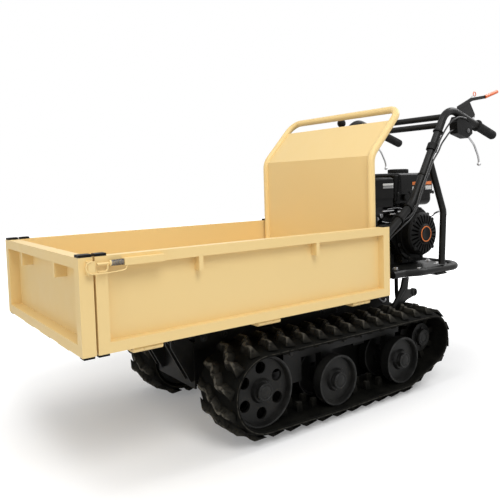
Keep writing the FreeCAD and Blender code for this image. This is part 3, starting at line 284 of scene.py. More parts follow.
def sand_paint():
    """Satin sand enamel over sheet steel: faint peel, handling scuffs and a little dust."""
    paint = Finish("sand_paint", (0.800, 0.592, 0.268), 0.42, Specular_IOR_Level=0.35)
    clouds = paint.noise(2.6, 4.0)
    paint.tint(paint.spread(clouds, 0.40, 0.68, 0.0, 0.35), (0.785, 0.570, 0.245))
    scuffs = paint.noise(34.0, 6.0, paint.stretched((1.0, 1.0, 5.0)), 0.7)
    paint.tint(paint.spread(scuffs, 0.66, 0.76, 0.0, 0.30), (0.62, 0.44, 0.22))
    paint.gloss(paint.noise(18.0, 4.0), 0.36, 0.50)
    paint.bump(paint.noise(420.0, 2.0), 0.00010)
    return paint.material


def black_paint():
    """Satin black powder coat with dust settled in it."""
    paint = Finish("black_paint", (0.0058, 0.0058, 0.0054), 0.38, Specular_IOR_Level=0.20)
    dust = paint.noise(11.0, 6.0, rough=0.65)
    paint.tint(paint.spread(dust, 0.45, 0.75, 0.0, 0.5), (0.024, 0.023, 0.020))
    paint.gloss(dust, 0.30, 0.52)
    paint.bump(paint.noise(700.0, 2.0), 0.00008)
    return paint.material


def cast_metal():
    """Dark cast aluminium, oily in patches."""
    cast = Finish("cast_metal", (0.045, 0.045, 0.046), 0.5, 0.6, Specular_IOR_Level=0.3)
    grain = cast.noise(260.0, 4.0)
    cast.tint(cast.spread(cast.noise(24.0, 5.0), 0.45, 0.7, 0.0, 0.6), (0.020, 0.019, 0.017))
    cast.gloss(grain, 0.42, 0.62)
    cast.bump(grain, 0.00025)
    return cast.material


def gloss_black():
    """Gloss black enamel of the engine's covers."""
    paint = Finish("gloss_black", (0.0030, 0.0030, 0.0029), 0.28, Specular_IOR_Level=0.13)
    paint.tint(paint.spread(paint.noise(14.0, 5.0), 0.5, 0.75, 0.0, 0.35), (0.020, 0.019, 0.018))
    paint.gloss(paint.noise(30.0, 4.0), 0.16, 0.32)
    paint.bump(paint.noise(500.0, 2.0), 0.00005)
    return paint.material


def moulded_plastic():
    """Grained black plastic."""
    plastic = Finish("moulded_plastic", (0.0042, 0.0042, 0.0040), 0.48, Specular_IOR_Level=0.14)
    grain = plastic.noise(900.0, 2.0)
    plastic.tint(plastic.spread(plastic.noise(20.0, 5.0), 0.5, 0.8, 0.0, 0.5), (0.014, 0.013, 0.012))
    plastic.gloss(plastic.noise(40.0, 3.0), 0.42, 0.58)
    plastic.bump(grain, 0.00012)
    return plastic.material


def soft_rubber():
    """Grip and hose rubber, dusty in places."""
    rubber = Finish("soft_rubber", (0.0090, 0.0090, 0.0090), 0.7, Specular_IOR_Level=0.25)
    rubber.tint(rubber.spread(rubber.noise(45.0, 5.0), 0.5, 0.8, 0.0, 0.4), (0.022, 0.021, 0.019))
    rubber.gloss(rubber.noise(60.0, 3.0), 0.62, 0.82)
    rubber.bump(rubber.noise(700.0, 3.0), 0.00015)
    return rubber.material


def track_rubber():
    """Worn rubber: dusty all over, and rubbed grey at the edges of the lugs."""
    rubber = Finish("track_rubber", (0.0020, 0.0020, 0.0016), 0.72, Specular_IOR_Level=0.05)
    dust = rubber.noise(16.0, 7.0, rough=0.7)
    rubber.tint(rubber.spread(dust, 0.42, 0.72, 0.0, 0.75), (0.010, 0.0095, 0.0075))
    rubbed = rubber.product(rubber.attribute("worn"), rubber.spread(rubber.noise(90.0, 4.0), 0.30, 0.55))
    rubber.tint(rubbed, (0.105, 0.098, 0.082))
    rubber.gloss(dust, 0.60, 0.85)
    rubber.bump(rubber.noise(240.0, 5.0, rough=0.6), 0.0006)
    return rubber.material


def bright_steel():
    """Brushed bright steel."""
    steel = Finish("bright_steel", (0.60, 0.60, 0.61), 0.28, 1.0)
    brushed = steel.noise(160.0, 3.0, steel.stretched((1.0, 9.0, 9.0)))
    steel.gloss(brushed, 0.20, 0.38)
    steel.tint(steel.spread(steel.noise(30.0, 4.0), 0.55, 0.8, 0.0, 0.5), (0.36, 0.35, 0.33))
    steel.bump(brushed, 0.00003)
    return steel.material


def zinc_steel():
    """Dull zinc plating, darkened by handling."""
    zinc = Finish("zinc_steel", (0.23, 0.23, 0.235), 0.42, 0.9, Specular_IOR_Level=0.3)
    cloud = zinc.noise(60.0, 4.0)
    zinc.tint(zinc.spread(cloud, 0.45, 0.75, 0.0, 0.7), (0.07, 0.065, 0.06))
    zinc.gloss(cloud, 0.34, 0.55)
    zinc.bump(zinc.noise(420.0, 3.0), 0.00006)
    return zinc.material


def cable_black():
    """Smooth extruded cable outer, with a soft shine."""
    outer = Finish("cable_black", (0.0080, 0.0080, 0.0080), 0.30, Specular_IOR_Level=0.55)
    outer.tint(outer.spread(outer.noise(30.0, 4.0), 0.5, 0.8, 0.0, 0.5), (0.022, 0.021, 0.020))
    outer.gloss(outer.noise(50.0, 3.0), 0.24, 0.38)
    outer.bump(outer.noise(600.0, 2.0), 0.00004)
    return outer.material


def rim_highlight_black():
    """Black lightened grey, for rings at the wheel edges: a painted highlight on the rims."""
    edge = Finish("rim_highlight_black", (0.028, 0.028, 0.027), 0.50, Specular_IOR_Level=0.2)
    edge.tint(edge.spread(edge.noise(40.0, 5.0), 0.40, 0.60, 0.0, 0.9), (0.008, 0.008, 0.0075))
    edge.gloss(edge.noise(60.0, 3.0), 0.42, 0.60)
    edge.bump(edge.noise(400.0, 3.0), 0.0001)
    return edge.material


def orange_dip():
    """Orange dipped plastic."""
    dip = Finish("orange_dip", (0.78, 0.145, 0.030), 0.38, Coat_Weight=0.2, Coat_Roughness=0.15)
    dip.tint(dip.spread(dip.noise(60.0, 3.0), 0.45, 0.75, 0.0, 0.3), (0.60, 0.10, 0.02))
    dip.gloss(dip.noise(80.0, 3.0), 0.32, 0.48)
    dip.bump(dip.noise(300.0, 2.0), 0.0001)
    return dip.material


# Placing and dressing pieces
def link(name, mesh, body, material, slot):
    """Puts a finished mesh in the scene, on its body with its material. The slot is not used."""
    piece = bpy.data.objects.new(name, mesh)
    bpy.context.scene.collection.objects.link(piece)
    if material is not None:
        mesh.materials.clear()
        mesh.materials.append(material)
    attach(piece, body)
    return piece


def soften(mesh, angle=32.0):
    """Smooth shading that stays sharp at real corners."""
    mesh.shade_smooth()
    mesh.set_sharp_from_angle(angle=math.radians(angle))


def dress(material, *nodes):
    """Gives CAD pieces their finish."""
    for name in nodes:
        mesh = frame["nodes"][name].data
        mesh.materials.clear()
        mesh.materials.append(material)


def label_print(name, colour):
    """A blank printed label."""
    label = Finish(name, colour, 0.40, Specular_IOR_Level=0.3)
    faded = tuple(value * 0.8 for value in colour)
    label.tint(label.spread(label.noise(50.0, 4.0), 0.5, 0.8, 0.0, 0.4), faded)
    label.gloss(label.noise(60.0, 3.0), 0.34, 0.50)
    label.bump(label.noise(300.0, 2.0), 0.00005)
    return label.material


# Geometry node helpers
class Grower:
    """A geometry node tree built step by step."""

    def __init__(self, name, **inputs):
        self.tree = bpy.data.node_groups.new(name, "GeometryNodeTree")
        face = self.tree.interface
        face.new_socket("Geometry", in_out="INPUT", socket_type="NodeSocketGeometry")
        self.keys = {}
        for label, kind in inputs.items():
            socket = face.new_socket(label.replace("_", " "), in_out="INPUT", socket_type="NodeSocket" + kind)
            self.keys[label] = socket.identifier
        face.new_socket("Geometry", in_out="OUTPUT", socket_type="NodeSocketGeometry")
        self.start = self.tree.nodes.new("NodeGroupInput")
        self.end = self.tree.nodes.new("NodeGroupOutput")

    def get(self, label):
        return self.start.outputs[label.replace("_", " ")]

    def add(self, kind, settings=None, **inputs):
        """A node of this kind, with its inputs set or linked by name."""
        node = self.tree.nodes.new(kind)
        for name, value in (settings or {}).items():
            setattr(node, name, value)
        for name, value in inputs.items():
            self.feed(node, name.replace("_", " "), value)
        return node

    def feed(self, node, name, value):
        found = [socket for socket in node.inputs if socket.name == name and socket.enabled]
        if isinstance(value, bpy.types.NodeSocket):
            self.tree.links.new(value, found[0])
        else:
            found[0].default_value = value

    def finish(self, geometry):
        """Ends the tree in real geometry with its material."""
        real = self.add("GeometryNodeRealizeInstances", Geometry=geometry)
        surface = self.add("GeometryNodeSetMaterial", Geometry=real.outputs[0], Material=self.get("Surface"))
        self.tree.links.new(surface.outputs[0], self.end.inputs[0])


def grow(name, base, grower, values, body, material, slot):
    """Runs a tree on a base mesh or curve and keeps the result as a plain piece."""
    seed = bpy.data.objects.new(name + "_base", base)
    bpy.context.scene.collection.objects.link(seed)
    modifier = seed.modifiers.new("grow", "NODES")
    modifier.node_group = grower.tree
    for label, value in values.items():
        modifier[grower.keys[label]] = value
    modifier[grower.keys["Surface"]] = material
    depsgraph = bpy.context.evaluated_depsgraph_get()
    mesh = bpy.data.meshes.new_from_object(seed.evaluated_get(depsgraph), preserve_all_data_layers=True,
                                           depsgraph=depsgraph)
    seed.modifiers.remove(modifier)
    bpy.data.objects.remove(seed)
    mesh.name = name
    soften(mesh)
    return link(name, mesh, body, None, slot)


# Crawler tracks
TRACK_MIDDLE = 235.0
BELT = 18.0
SHOES = 34
BEAD_AT = 88
BEAD_HEIGHT = 6
BEAD_RADIUS = 2.6
LUG = dict(foot=15, crest=3.8, height=16.6, sink=2, run_on=(7, 26))
GUIDE_LUG = dict(foot=8, crest=5, height=26, sink=1, run_on=(3, 3), rubbed=0.3)
GUIDE_AT = 23.5
WHEELS = (
    # behind the gate, above the ground, radius
    (502.0, 145.0, 100.0),
    (1213.0, 161.0, 76.0),
    (1083.0, 112.0, 77.0),
    (785.0, 112.0, 77.0),
)


def belt_line(rise, step=4.0):
    """Points round the wheels at a height over their rims, in millimetres, with their outward ways."""
    wheels = [(-behind, height, radius + rise) for behind, height, radius in WHEELS]
    count = len(wheels)
    ways = []
    for index in range(count):
        x, z, radius = wheels[index]
        next_x, next_z, next_radius = wheels[(index + 1) % count]
        span = math.hypot(next_x - x, next_z - z)
        along = math.atan2(next_z - z, next_x - x)
        ways.append(along - math.pi / 2 + math.asin((radius - next_radius) / span))
    points = []
    for index in range(count):
        x, z, radius = wheels[index]
        start = ways[index - 1]
        sweep = (ways[index] - start) % (2 * math.pi)
        steps = max(2, round(radius * sweep / step))
        for number in range(steps + 1):
            angle = start + sweep * number / steps
            points.append(Vector((x + radius * math.cos(angle), 0, z + radius * math.sin(angle))))
        next_x, next_z, next_radius = wheels[(index + 1) % count]
        side = Vector((math.cos(ways[index]), 0, math.sin(ways[index])))
        first = Vector((x, 0, z)) + side * radius
        last = Vector((next_x, 0, next_z)) + side * next_radius
        steps = max(2, round((last - first).length / step))
        for number in range(1, steps):
            points.append(first.lerp(last, number / steps))
    return points


def loop_curve(name, rise, middle, shift=0.0):
    """The belt line as a closed curve at one track, started a share of a pitch further on."""
    points = belt_line(rise)
    total = sum((points[index] - points[index - 1]).length for index in range(len(points)))
    gone = 0.0
    start = 0
    while gone < shift * total / SHOES:
        gone += (points[start + 1] - points[start]).length
        start += 1
    points = points[start:] + points[:start]
    curve = bpy.data.curves.new(name, "CURVE")
    curve.dimensions = "3D"
    spline = curve.splines.new("POLY")
    spline.points.add(len(points) - 1)
    for place, point in zip(spline.points, points):
        place.co = (NOSE + point.x * MM, middle * MM, point.z * MM, 1.0)
    spline.use_cyclic_u = True
    return curve


def around_belt_tree():
    """Sets pieces at an even pitch round a flat loop, with their backs to it."""
    grower = Grower("around_belt", Piece="Object", Count="Int", Surface="Material")
    points = grower.add("GeometryNodeCurveToPoints", {"mode": "COUNT"}, Curve=grower.get("Geometry"),
                        Count=grower.get("Count"))
    outward = grower.add("ShaderNodeVectorMath", {"operation": "CROSS_PRODUCT"})
    grower.tree.links.new(points.outputs["Tangent"], outward.inputs[0])
    outward.inputs[1].default_value = (0.0, -1.0, 0.0)
    along = grower.add("FunctionNodeAlignRotationToVector", {"axis": "X"},
                       Vector=points.outputs["Tangent"])
    turned = grower.add("FunctionNodeAlignRotationToVector", {"axis": "Z", "pivot_axis": "X"},
                        Rotation=along.outputs[0], Vector=outward.outputs[0])
    piece = grower.add("GeometryNodeObjectInfo", Object=grower.get("Piece"))
    copies = grower.add("GeometryNodeInstanceOnPoints", Points=points.outputs["Points"],
                        Instance=piece.outputs["Geometry"], Rotation=turned.outputs[0])
    grower.finish(copies.outputs[0])
    return grower


def sweep_tree():
    """Sweeps a closed outline along a flat loop."""
    grower = Grower("sweep_outline", Outline="Object", Rubbed="Float", Surface="Material")
    outline = grower.add("GeometryNodeObjectInfo", Object=grower.get("Outline"))
    swept = grower.add("GeometryNodeCurveToMesh", Curve=grower.get("Geometry"),
                       Profile_Curve=outline.outputs["Geometry"])
    worn = grower.add("GeometryNodeStoreNamedAttribute", {"data_type": "FLOAT", "domain": "POINT"},
                      Geometry=swept.outputs[0], Name="worn", Value=grower.get("Rubbed"))
    grower.finish(worn.outputs[0])
    return grower


def ridge(points, foot, crest, height, sink, run_on, rubbed=1.0):
    """A moulded lug along a bent line: foot and crest are half widths, run_on how far the foot
    goes on at the two ends, and rubbed how worn its crest is."""
    shape = bmesh.new()
    worn = shape.verts.layers.float.new("worn")
    rows = []
    count = len(points)
    for index, point in enumerate(points):
        before = Vector(points[max(index - 1, 0)])
        after = Vector(points[min(index + 1, count - 1)])
        way = (after - before).normalized()
        side = Vector((-way.y, way.x))
        out = Vector((0.0, 0.0))
        if index == 0:
            out = -way * run_on[0]
        if index == count - 1:
            out = way * run_on[1]
        middle = Vector(point)
        row = []
        for offset, lift, share, rub in ((foot, -sink, 1.0, 0.0), (crest + 1.2, height - 1.6, 0.1, 0.3),
                                         (crest, height, 0.0, 1.0), (-crest, height, 0.0, 1.0),
                                         (-crest - 1.2, height - 1.6, 0.1, 0.3), (-foot, -sink, 1.0, 0.0)):
            place = middle + side * offset + out * share
            vert = shape.verts.new((place.x * MM, place.y * MM, lift * MM))
            vert[worn] = rub * rubbed
            row.append(vert)
        rows.append(row)
    for first, second in zip(rows, rows[1:]):
        for index in range(len(first)):
            after = (index + 1) % len(first)
            shape.faces.new((first[index], first[after], second[after], second[index]))
    shape.faces.new(rows[0])
    shape.faces.new(rows[-1])
    bmesh.ops.recalc_face_normals(shape, faces=shape.faces[:])
    return shape


def hidden_object(name, data):
    """An object that only a node tree reads."""
    piece = bpy.data.objects.new(name, data)
    bpy.context.scene.collection.objects.link(piece)
    return piece


def mesh_of(shape, name):
    """Turns a shape under construction into a mesh."""
    mesh = bpy.data.meshes.new(name)
    shape.to_mesh(mesh)
    shape.free()
    return mesh


def circle_outline(across, rise, radius, count=8):
    """A round outline for the bead along a belt's edge."""
    curve = bpy.data.curves.new("bead_outline", "CURVE")
    curve.dimensions = "3D"
    ring = curve.splines.new("POLY")
    ring.points.add(count - 1)
    for number, place in enumerate(ring.points):
        angle = 2 * math.pi * number / count
        place.co = ((across + radius * math.cos(angle)) * MM, (rise + radius * math.sin(angle)) * MM,
                    0.0, 1.0)
    ring.use_cyclic_u = True
    return curve


def make_tracks(material):
    around = around_belt_tree()
    sweep = sweep_tree()
    outline_curve = bpy.data.curves.new("belt_outline", "CURVE")
    outline_curve.dimensions = "3D"
    ring = outline_curve.splines.new("POLY")
    half = ((88, 0), (90, 2), (90, 8), (86, 12), (62, 18))
    outline = half + tuple((-across, rise) for across, rise in reversed(half))
    ring.points.add(len(outline) - 1)
    for place, (across, rise) in zip(ring.points, outline):
        place.co = (across * MM, rise * MM, 0.0, 1.0)
    ring.use_cyclic_u = True
    outline_object = hidden_object("belt_outline", outline_curve)

    # The outer lug runs slanting from the middle and then straight out; the inner lug is its half turn
    step = [(-16, 5), (-9, 13), (5, 22), (8, 30), (4, 48), (8, 62)]
    outer_lug = hidden_object("outer_lug", mesh_of(ridge(step, **LUG), "outer_lug"))
    turned = [(-along, -across) for along, across in step]
    inner_lug = hidden_object("inner_lug", mesh_of(ridge(turned, **LUG), "inner_lug"))
    guide = bmesh.new()
    for side in (-1, 1):
        part = ridge([(-8, 0), (8, 0)], **GUIDE_LUG)
        for vert in part.verts:
            vert.co.y += side * GUIDE_AT * MM
            vert.co.z = -vert.co.z
        bmesh.ops.recalc_face_normals(part, faces=part.faces[:])
        copy = mesh_of(part, "guide_part")
        guide.from_mesh(copy)
        bpy.data.meshes.remove(copy)
    guide_lug = hidden_object("guide_lug", mesh_of(guide, "guide_lugs"))

    for mark, sign in (("left", 1), ("right", -1)):
        middle = sign * TRACK_MIDDLE
        belt = grow("belt_" + mark, loop_curve("belt_line_" + mark, 0.0, middle), sweep,
                    {"Outline": outline_object, "Rubbed": 0.0}, "chassis", material, "track_rubber")
        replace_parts(belt, "track_" + mark)
        for edge, across in (("outer", BEAD_AT), ("inner", -BEAD_AT)):
            bead = hidden_object("bead_outline", circle_outline(across * sign, BEAD_HEIGHT, BEAD_RADIUS))
            piece = grow("belt_bead_%s_%s" % (edge, mark), loop_curve("bead_line", 0.0, middle), sweep,
                         {"Outline": bead, "Rubbed": 0.30}, "chassis", material, "track_rubber")
            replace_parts(piece, "track_" + mark)
            bpy.data.objects.remove(bead)
        for name, lug, rise, shift in (("outer_lugs", outer_lug, BELT, 0.0),
                                       ("inner_lugs", inner_lug, BELT, 0.5),
                                       ("guide_lugs", guide_lug, 0.0, 0.25)):
            piece = grow("%s_%s" % (name, mark), loop_curve(name + mark, rise, middle, shift), around,
                         {"Piece": lug, "Count": SHOES}, "chassis", material, "track_rubber")
            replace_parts(piece, "track_" + mark)
    for helper in (outline_object, outer_lug, inner_lug, guide_lug):
        bpy.data.objects.remove(helper)


# Shapes for small pieces
LEFT = Vector((0, 1, 0))
RIGHT = Vector((0, -1, 0))
AHEAD = Vector((1, 0, 0))
UP = Vector((0, 0, 1))
SIDES = (("left", 1), ("right", -1))


def on_circle(radius, angle):
    """A point of a circle, by its angle in degrees."""
    return radius * math.cos(math.radians(angle)), radius * math.sin(math.radians(angle))


def turned_shape(outline, sides=32, closed=False, ribs=0.0, whole=0.0):
    """A shape turned round Z from (radius, height) points in millimetres. An open outline starts and
    ends on the axis; ribs cuts flutes this deep where the radius is above whole."""
    shape = bmesh.new()
    rings = []
    for radius, height in outline:
        if radius == 0:
            rings.append([shape.verts.new((0, 0, height * MM))])
            continue
        ring = []
        for number in range(sides):
            reach = radius - (ribs if radius > whole and number % 4 < 2 else 0.0)
            x, y = on_circle(reach, 360 * number / sides)
            ring.append(shape.verts.new((x * MM, y * MM, height * MM)))
        rings.append(ring)
    pairs = list(zip(rings, rings[1:]))
    if closed:
        pairs.append((rings[-1], rings[0]))
    for low, high in pairs:
        for number in range(sides):
            after = (number + 1) % sides
            if len(low) == 1:
                shape.faces.new((low[0], high[after], high[number]))
            elif len(high) == 1:
                shape.faces.new((low[number], low[after], high[0]))
            else:
                shape.faces.new((low[number], low[after], high[after], high[number]))
    bmesh.ops.recalc_face_normals(shape, faces=shape.faces[:])
    return shape


def joined(shapes):
    """Several shapes as one."""
    whole = bmesh.new()
    for shape in shapes:
        copy = mesh_of(shape, "shape")
        whole.from_mesh(copy)
        bpy.data.meshes.remove(copy)
    return whole


def bolt_shape(across, head):
    """A hexagon bolt head with its chamfer, on a washer, standing up from z = 0."""
    half = across / 2 / math.cos(math.pi / 6)
    wide = across * 0.95
    rim = across * 0.86
    return joined((
        turned_shape(((0, -1), (half, -1), (half, head * 0.75), (half * 0.86, head), (0, head)), 6),
        turned_shape(((0, -1), (wide, -1), (wide, 0.9), (rim, 1.3), (0, 1.3)), 24),
    ))


def ease_edges(shape, edge):
    bmesh.ops.bevel(shape, geom=shape.edges[:], offset=edge * MM, segments=2, affect="EDGES", profile=0.5)


def plate_shape(low, high, edge):
    """A plate with eased edges between two corners."""
    shape = bmesh.new()
    bmesh.ops.create_cube(shape, size=1.0)
    for vert in shape.verts:
        vert.co = Vector((low[axis] + (high[axis] - low[axis]) * (vert.co[axis] + 0.5) for axis in range(3)))
    ease_edges(shape, edge)
    bmesh.ops.recalc_face_normals(shape, faces=shape.faces[:])
    return shape


def cut_plate(outline, left, thick):
    """A flat plate on edge: an outline of (behind, height) points, its outer face at left."""
    shape = bmesh.new()
    near = [shape.verts.new(spot(behind, left, height)) for behind, height in outline]
    inner = left - math.copysign(thick, left)
    far = [shape.verts.new(spot(behind, inner, height)) for behind, height in outline]
    shape.faces.new(near)
    shape.faces.new(far)
    for index in range(len(near)):
        after = (index + 1) % len(near)
        shape.faces.new((near[index], near[after], far[after], far[index]))
    bmesh.ops.recalc_face_normals(shape, faces=shape.faces[:])
    ease_edges(shape, 1.0)
    return shape


# Small pieces; a finish is a material with its slot
def piece_of(name, shapes, finish, body="chassis"):
    """One piece from several shapes that are already in place."""
    mesh = mesh_of(joined(shapes), name)
    soften(mesh)
    return link(name, mesh, body, *finish)


def wire(name, routes, radius, finish, body="chassis", smooth=True):
    """Round wire along routes of (behind, left, height) points."""
    curve = bpy.data.curves.new(name, "CURVE")
    curve.dimensions = "3D"
    curve.bevel_depth = radius * MM
    curve.bevel_resolution = 5
    curve.use_fill_caps = True
    curve.resolution_u = 10
    for route in routes:
        line = curve.splines.new("NURBS" if smooth and len(route) > 2 else "POLY")
        line.points.add(len(route) - 1)
        for place, point in zip(line.points, route):
            place.co = (*spot(*point), 1.0)
        if line.type == "NURBS":
            line.order_u = 3
            line.use_endpoint_u = True
    seed = hidden_object(name + "_line", curve)
    depsgraph = bpy.context.evaluated_depsgraph_get()
    drawn = bpy.data.meshes.new_from_object(seed.evaluated_get(depsgraph), depsgraph=depsgraph)
    bpy.data.objects.remove(seed)
    shape = bmesh.new()
    shape.from_mesh(drawn)
    bpy.data.meshes.remove(drawn)
    bmesh.ops.remove_doubles(shape, verts=shape.verts[:], dist=0.00002)
    bmesh.ops.recalc_face_normals(shape, faces=shape.faces[:])
    mesh = mesh_of(shape, name)
    soften(mesh)
    return link(name, mesh, body, *finish)


def set_on_points(grower, thing):
    """Ends a tree with a thing on every point, its Z along the point's way."""
    way = grower.add("GeometryNodeInputNamedAttribute", {"data_type": "FLOAT_VECTOR"}, Name="way")
    turned = grower.add("FunctionNodeAlignRotationToVector", {"axis": "Z"},
                        Vector=[output for output in way.outputs if output.enabled][0])
    copies = grower.add("GeometryNodeInstanceOnPoints", Points=grower.get("Geometry"), Instance=thing,
                        Rotation=turned.outputs[0])
    grower.finish(copies.outputs[0])
    return grower


def on_points_tree():
    """Sets a piece on points."""
    grower = Grower("set_on_points", Piece="Object", Surface="Material")
    piece = grower.add("GeometryNodeObjectInfo", Object=grower.get("Piece"))
    return set_on_points(grower, piece.outputs["Geometry"])


def spring_tree():
    """Winds coil springs on points."""
    grower = Grower("springs", Turns="Float", Radius="Float", Length="Float", Wire="Float",
                    Surface="Material")
    coil = grower.add("GeometryNodeCurveSpiral", Resolution=20, Rotations=grower.get("Turns"),
                      Start_Radius=grower.get("Radius"), End_Radius=grower.get("Radius"),
                      Height=grower.get("Length"))
    ring = grower.add("GeometryNodeCurvePrimitiveCircle", {"mode": "RADIUS"}, Resolution=8,
                      Radius=grower.get("Wire"))
    round_wire = grower.add("GeometryNodeCurveToMesh", Curve=coil.outputs[0],
                            Profile_Curve=ring.outputs[0], Fill_Caps=True)
    return set_on_points(grower, round_wire.outputs[0])


def points_mesh(name, places):
    mesh = bpy.data.meshes.new(name + "_points")
    mesh.from_pydata([place for place, _ in places], [], [])
    ways = mesh.attributes.new("way", "FLOAT_VECTOR", "POINT")
    for number, (_, way) in enumerate(places):
        ways.data[number].vector = way
    return mesh


def set_pieces(name, shape, places, finish, body="chassis"):
    """Copies of one shape at (place, way) pairs, grown as one piece."""
    pattern = hidden_object(name + "_pattern", mesh_of(shape, name + "_pattern"))
    piece = grow(name, points_mesh(name, places), ON_POINTS, {"Piece": pattern}, body, *finish)
    bpy.data.objects.remove(pattern)
    return piece


def set_springs(name, places, sizes, finish, body="chassis"):
    """Coil springs at (place, way) pairs; sizes are turns, radius, length and wire."""
    turns, radius, length, thick = sizes
    return grow(name, points_mesh(name, places), SPRINGS,
                {"Turns": float(turns), "Radius": radius * MM, "Length": length * MM, "Wire": thick * MM},
                body, *finish)


def seats(node, places, way):
    """Where lines from places along a way first meet a CAD piece, with the way back out; a line
    that misses it is left out."""
    piece = frame["nodes"][node]
    turn = piece.matrix_world.inverted()
    found = []
    for place in places:
        hit, point, _, _ = piece.ray_cast(turn @ place, (turn.to_3x3() @ way).normalized())
        if hit:
            found.append((piece.matrix_world @ point, -way))
    return found


def round_places(behind, left, height, radius, count, start):
    """Places round an axis that runs across the machine."""
    around = [on_circle(radius, start + 360 * number / count) for number in range(count)]
    return [spot(behind + along, left, height + rise) for along, rise in around]


# Finishes in use
sand = sand_paint()
black = black_paint()
plastic = moulded_plastic()
rubber = soft_rubber()
tread = track_rubber()
steel = bright_steel()
orange = orange_dip()
SLOT_FINISH = {
    "bed_paint": sand, "black_paint": black, "engine_metal": cast_metal(), "engine_cover": gloss_black(),
    "black_plastic": plastic, "grip_rubber": rubber, "track_rubber": tread, "lever_metal": steel,
    "orange_sleeve": orange, "cable_sheath": cable_black(),
}
SAND = (sand, "bed_paint")
BLACK = (black, "black_paint")
# Lighter black: a painted highlight on the wheel rims, and plain grey-black on the frame bolts.
GREY_BLACK = (rim_highlight_black(), "black_paint")
PLASTIC = (plastic, "black_plastic")
RUBBER = (rubber, "grip_rubber")
STEEL = (steel, "lever_metal")
ZINC = (zinc_steel(), "lever_metal")
ORANGE = (orange, "orange_sleeve")
LABEL_ORANGE = (label_print("label_orange", (0.75, 0.20, 0.045)), "black_plastic")
LABEL_WHITE = (label_print("label_white", (0.62, 0.62, 0.60)), "black_plastic")
LABEL_GREY = (label_print("label_grey", (0.28, 0.28, 0.28)), "black_plastic")


# Handlebars and deck
BAR_AT = 235
GRIP_LENGTH = 118.0
GRIP_RIBS = 20
GRIP_RIB_PITCH = 5.0
LEVER_PIN = (1532, 890)
LEVER_PIN_HALF = 18
BAR_STRAPS = (
    # behind the gate, above the ground, the bar's rise per run
    (1280, 726, 1.7), (1370, 882, 1.7), (1150, 577, 0.73), (1199, 613, 0.73),
)
DECK_BOLTS = ((1284, 212), (1129, 185), (1484, 100), (1484, 60), (1484, -100), (1284, -212), (1129, -185),
              (1230, 150), (1230, -150), (1440, 175), (1440, -175))


def make_controls():
    # Ribbed grips over the handlebar ends
    start, end = spot(1425, BAR_AT, 975), spot(1725, BAR_AT, 878)
    along = (end - start).normalized()
    outline = [(0, 0), (21, 0), (23, 1), (23, 3), (21.5, 4.5), (17.2, 5.5)]
    for number in range(GRIP_RIBS):
        low = 8 + number * GRIP_RIB_PITCH
        outline += [(17.0, low), (18.0, low + 0.8), (18.0, low + 2.8), (17.0, low + 3.6)]
    outline += [(17.8, 109), (18.0, 113), (16.5, GRIP_LENGTH - 1.2), (13, GRIP_LENGTH), (0, GRIP_LENGTH)]
    places = []
    for _, sign in SIDES:
        tip = Vector((end.x, sign * end.y, end.z))
        places.append((tip - along * GRIP_LENGTH * MM, along))
    grips = set_pieces("ribbed_grips", turned_shape(outline, 28), places, RUBBER)
    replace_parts(grips, "grips")

    # Ring on a thin rod beside the left housing, lever pins and bracket bolts
    wire("pull_rod", [[(1573, 235, 1015), (1584, 235, 1026), (1593, 235, 1028)]], 1.6, STEEL)
    section = [on_circle(1.8, angle) for angle in range(0, 360, 45)]
    ring = turned_shape([(8 + out, rise) for out, rise in section], 24, closed=True)
    set_pieces("pull_ring", ring, [(spot(1600, BAR_AT, 1034), LEFT)], ORANGE)
    pins = []
    for outward in (1, -1):
        for _, sign in SIDES:
            left = sign * (BAR_AT + outward * LEVER_PIN_HALF)
            pins.append((spot(LEVER_PIN[0], left, LEVER_PIN[1]), LEFT * sign * outward))
    set_pieces("lever_pins", bolt_shape(8, 4), pins, ZINC)
    bolts = seats("lever_bracket", [spot(1588, 300, 938)], RIGHT)
    set_pieces("bracket_bolts", bolt_shape(7, 3.5), bolts, STEEL)

    # Straps that hold the cables to the bars
    straps = []
    for _, sign in SIDES:
        for behind, height, rise in BAR_STRAPS:
            straps.append((spot(behind, sign * BAR_AT, height), Vector((-1, 0, rise)).normalized()))
    strap = turned_shape(((14.3, -3), (17.5, -3), (18.6, -2), (18.6, 2), (17.5, 3), (14.3, 3)), 28,
                         closed=True)
    set_pieces("bar_straps", strap, straps, PLASTIC)
    bolts = seats("engine_deck", [spot(behind, left, 450) for behind, left in DECK_BOLTS], -UP)
    set_pieces("deck_bolts", bolt_shape(13, 7), bolts, STEEL)


# Engine
STARTER = (1385, 505)
BADGE_FACE = 167.5
TANK_FACE = 129.8
FILTER_FACE = 127.8
LABEL_THICK = 0.9
TANK_SEAM = 660.5


def patch(behind, face, height):
    """A blank label on the engine's left, between two places behind the gate and two heights."""
    return plate_shape(spot(behind[1], face, height[0]), spot(behind[0], face + LABEL_THICK, height[1]), 0.3)


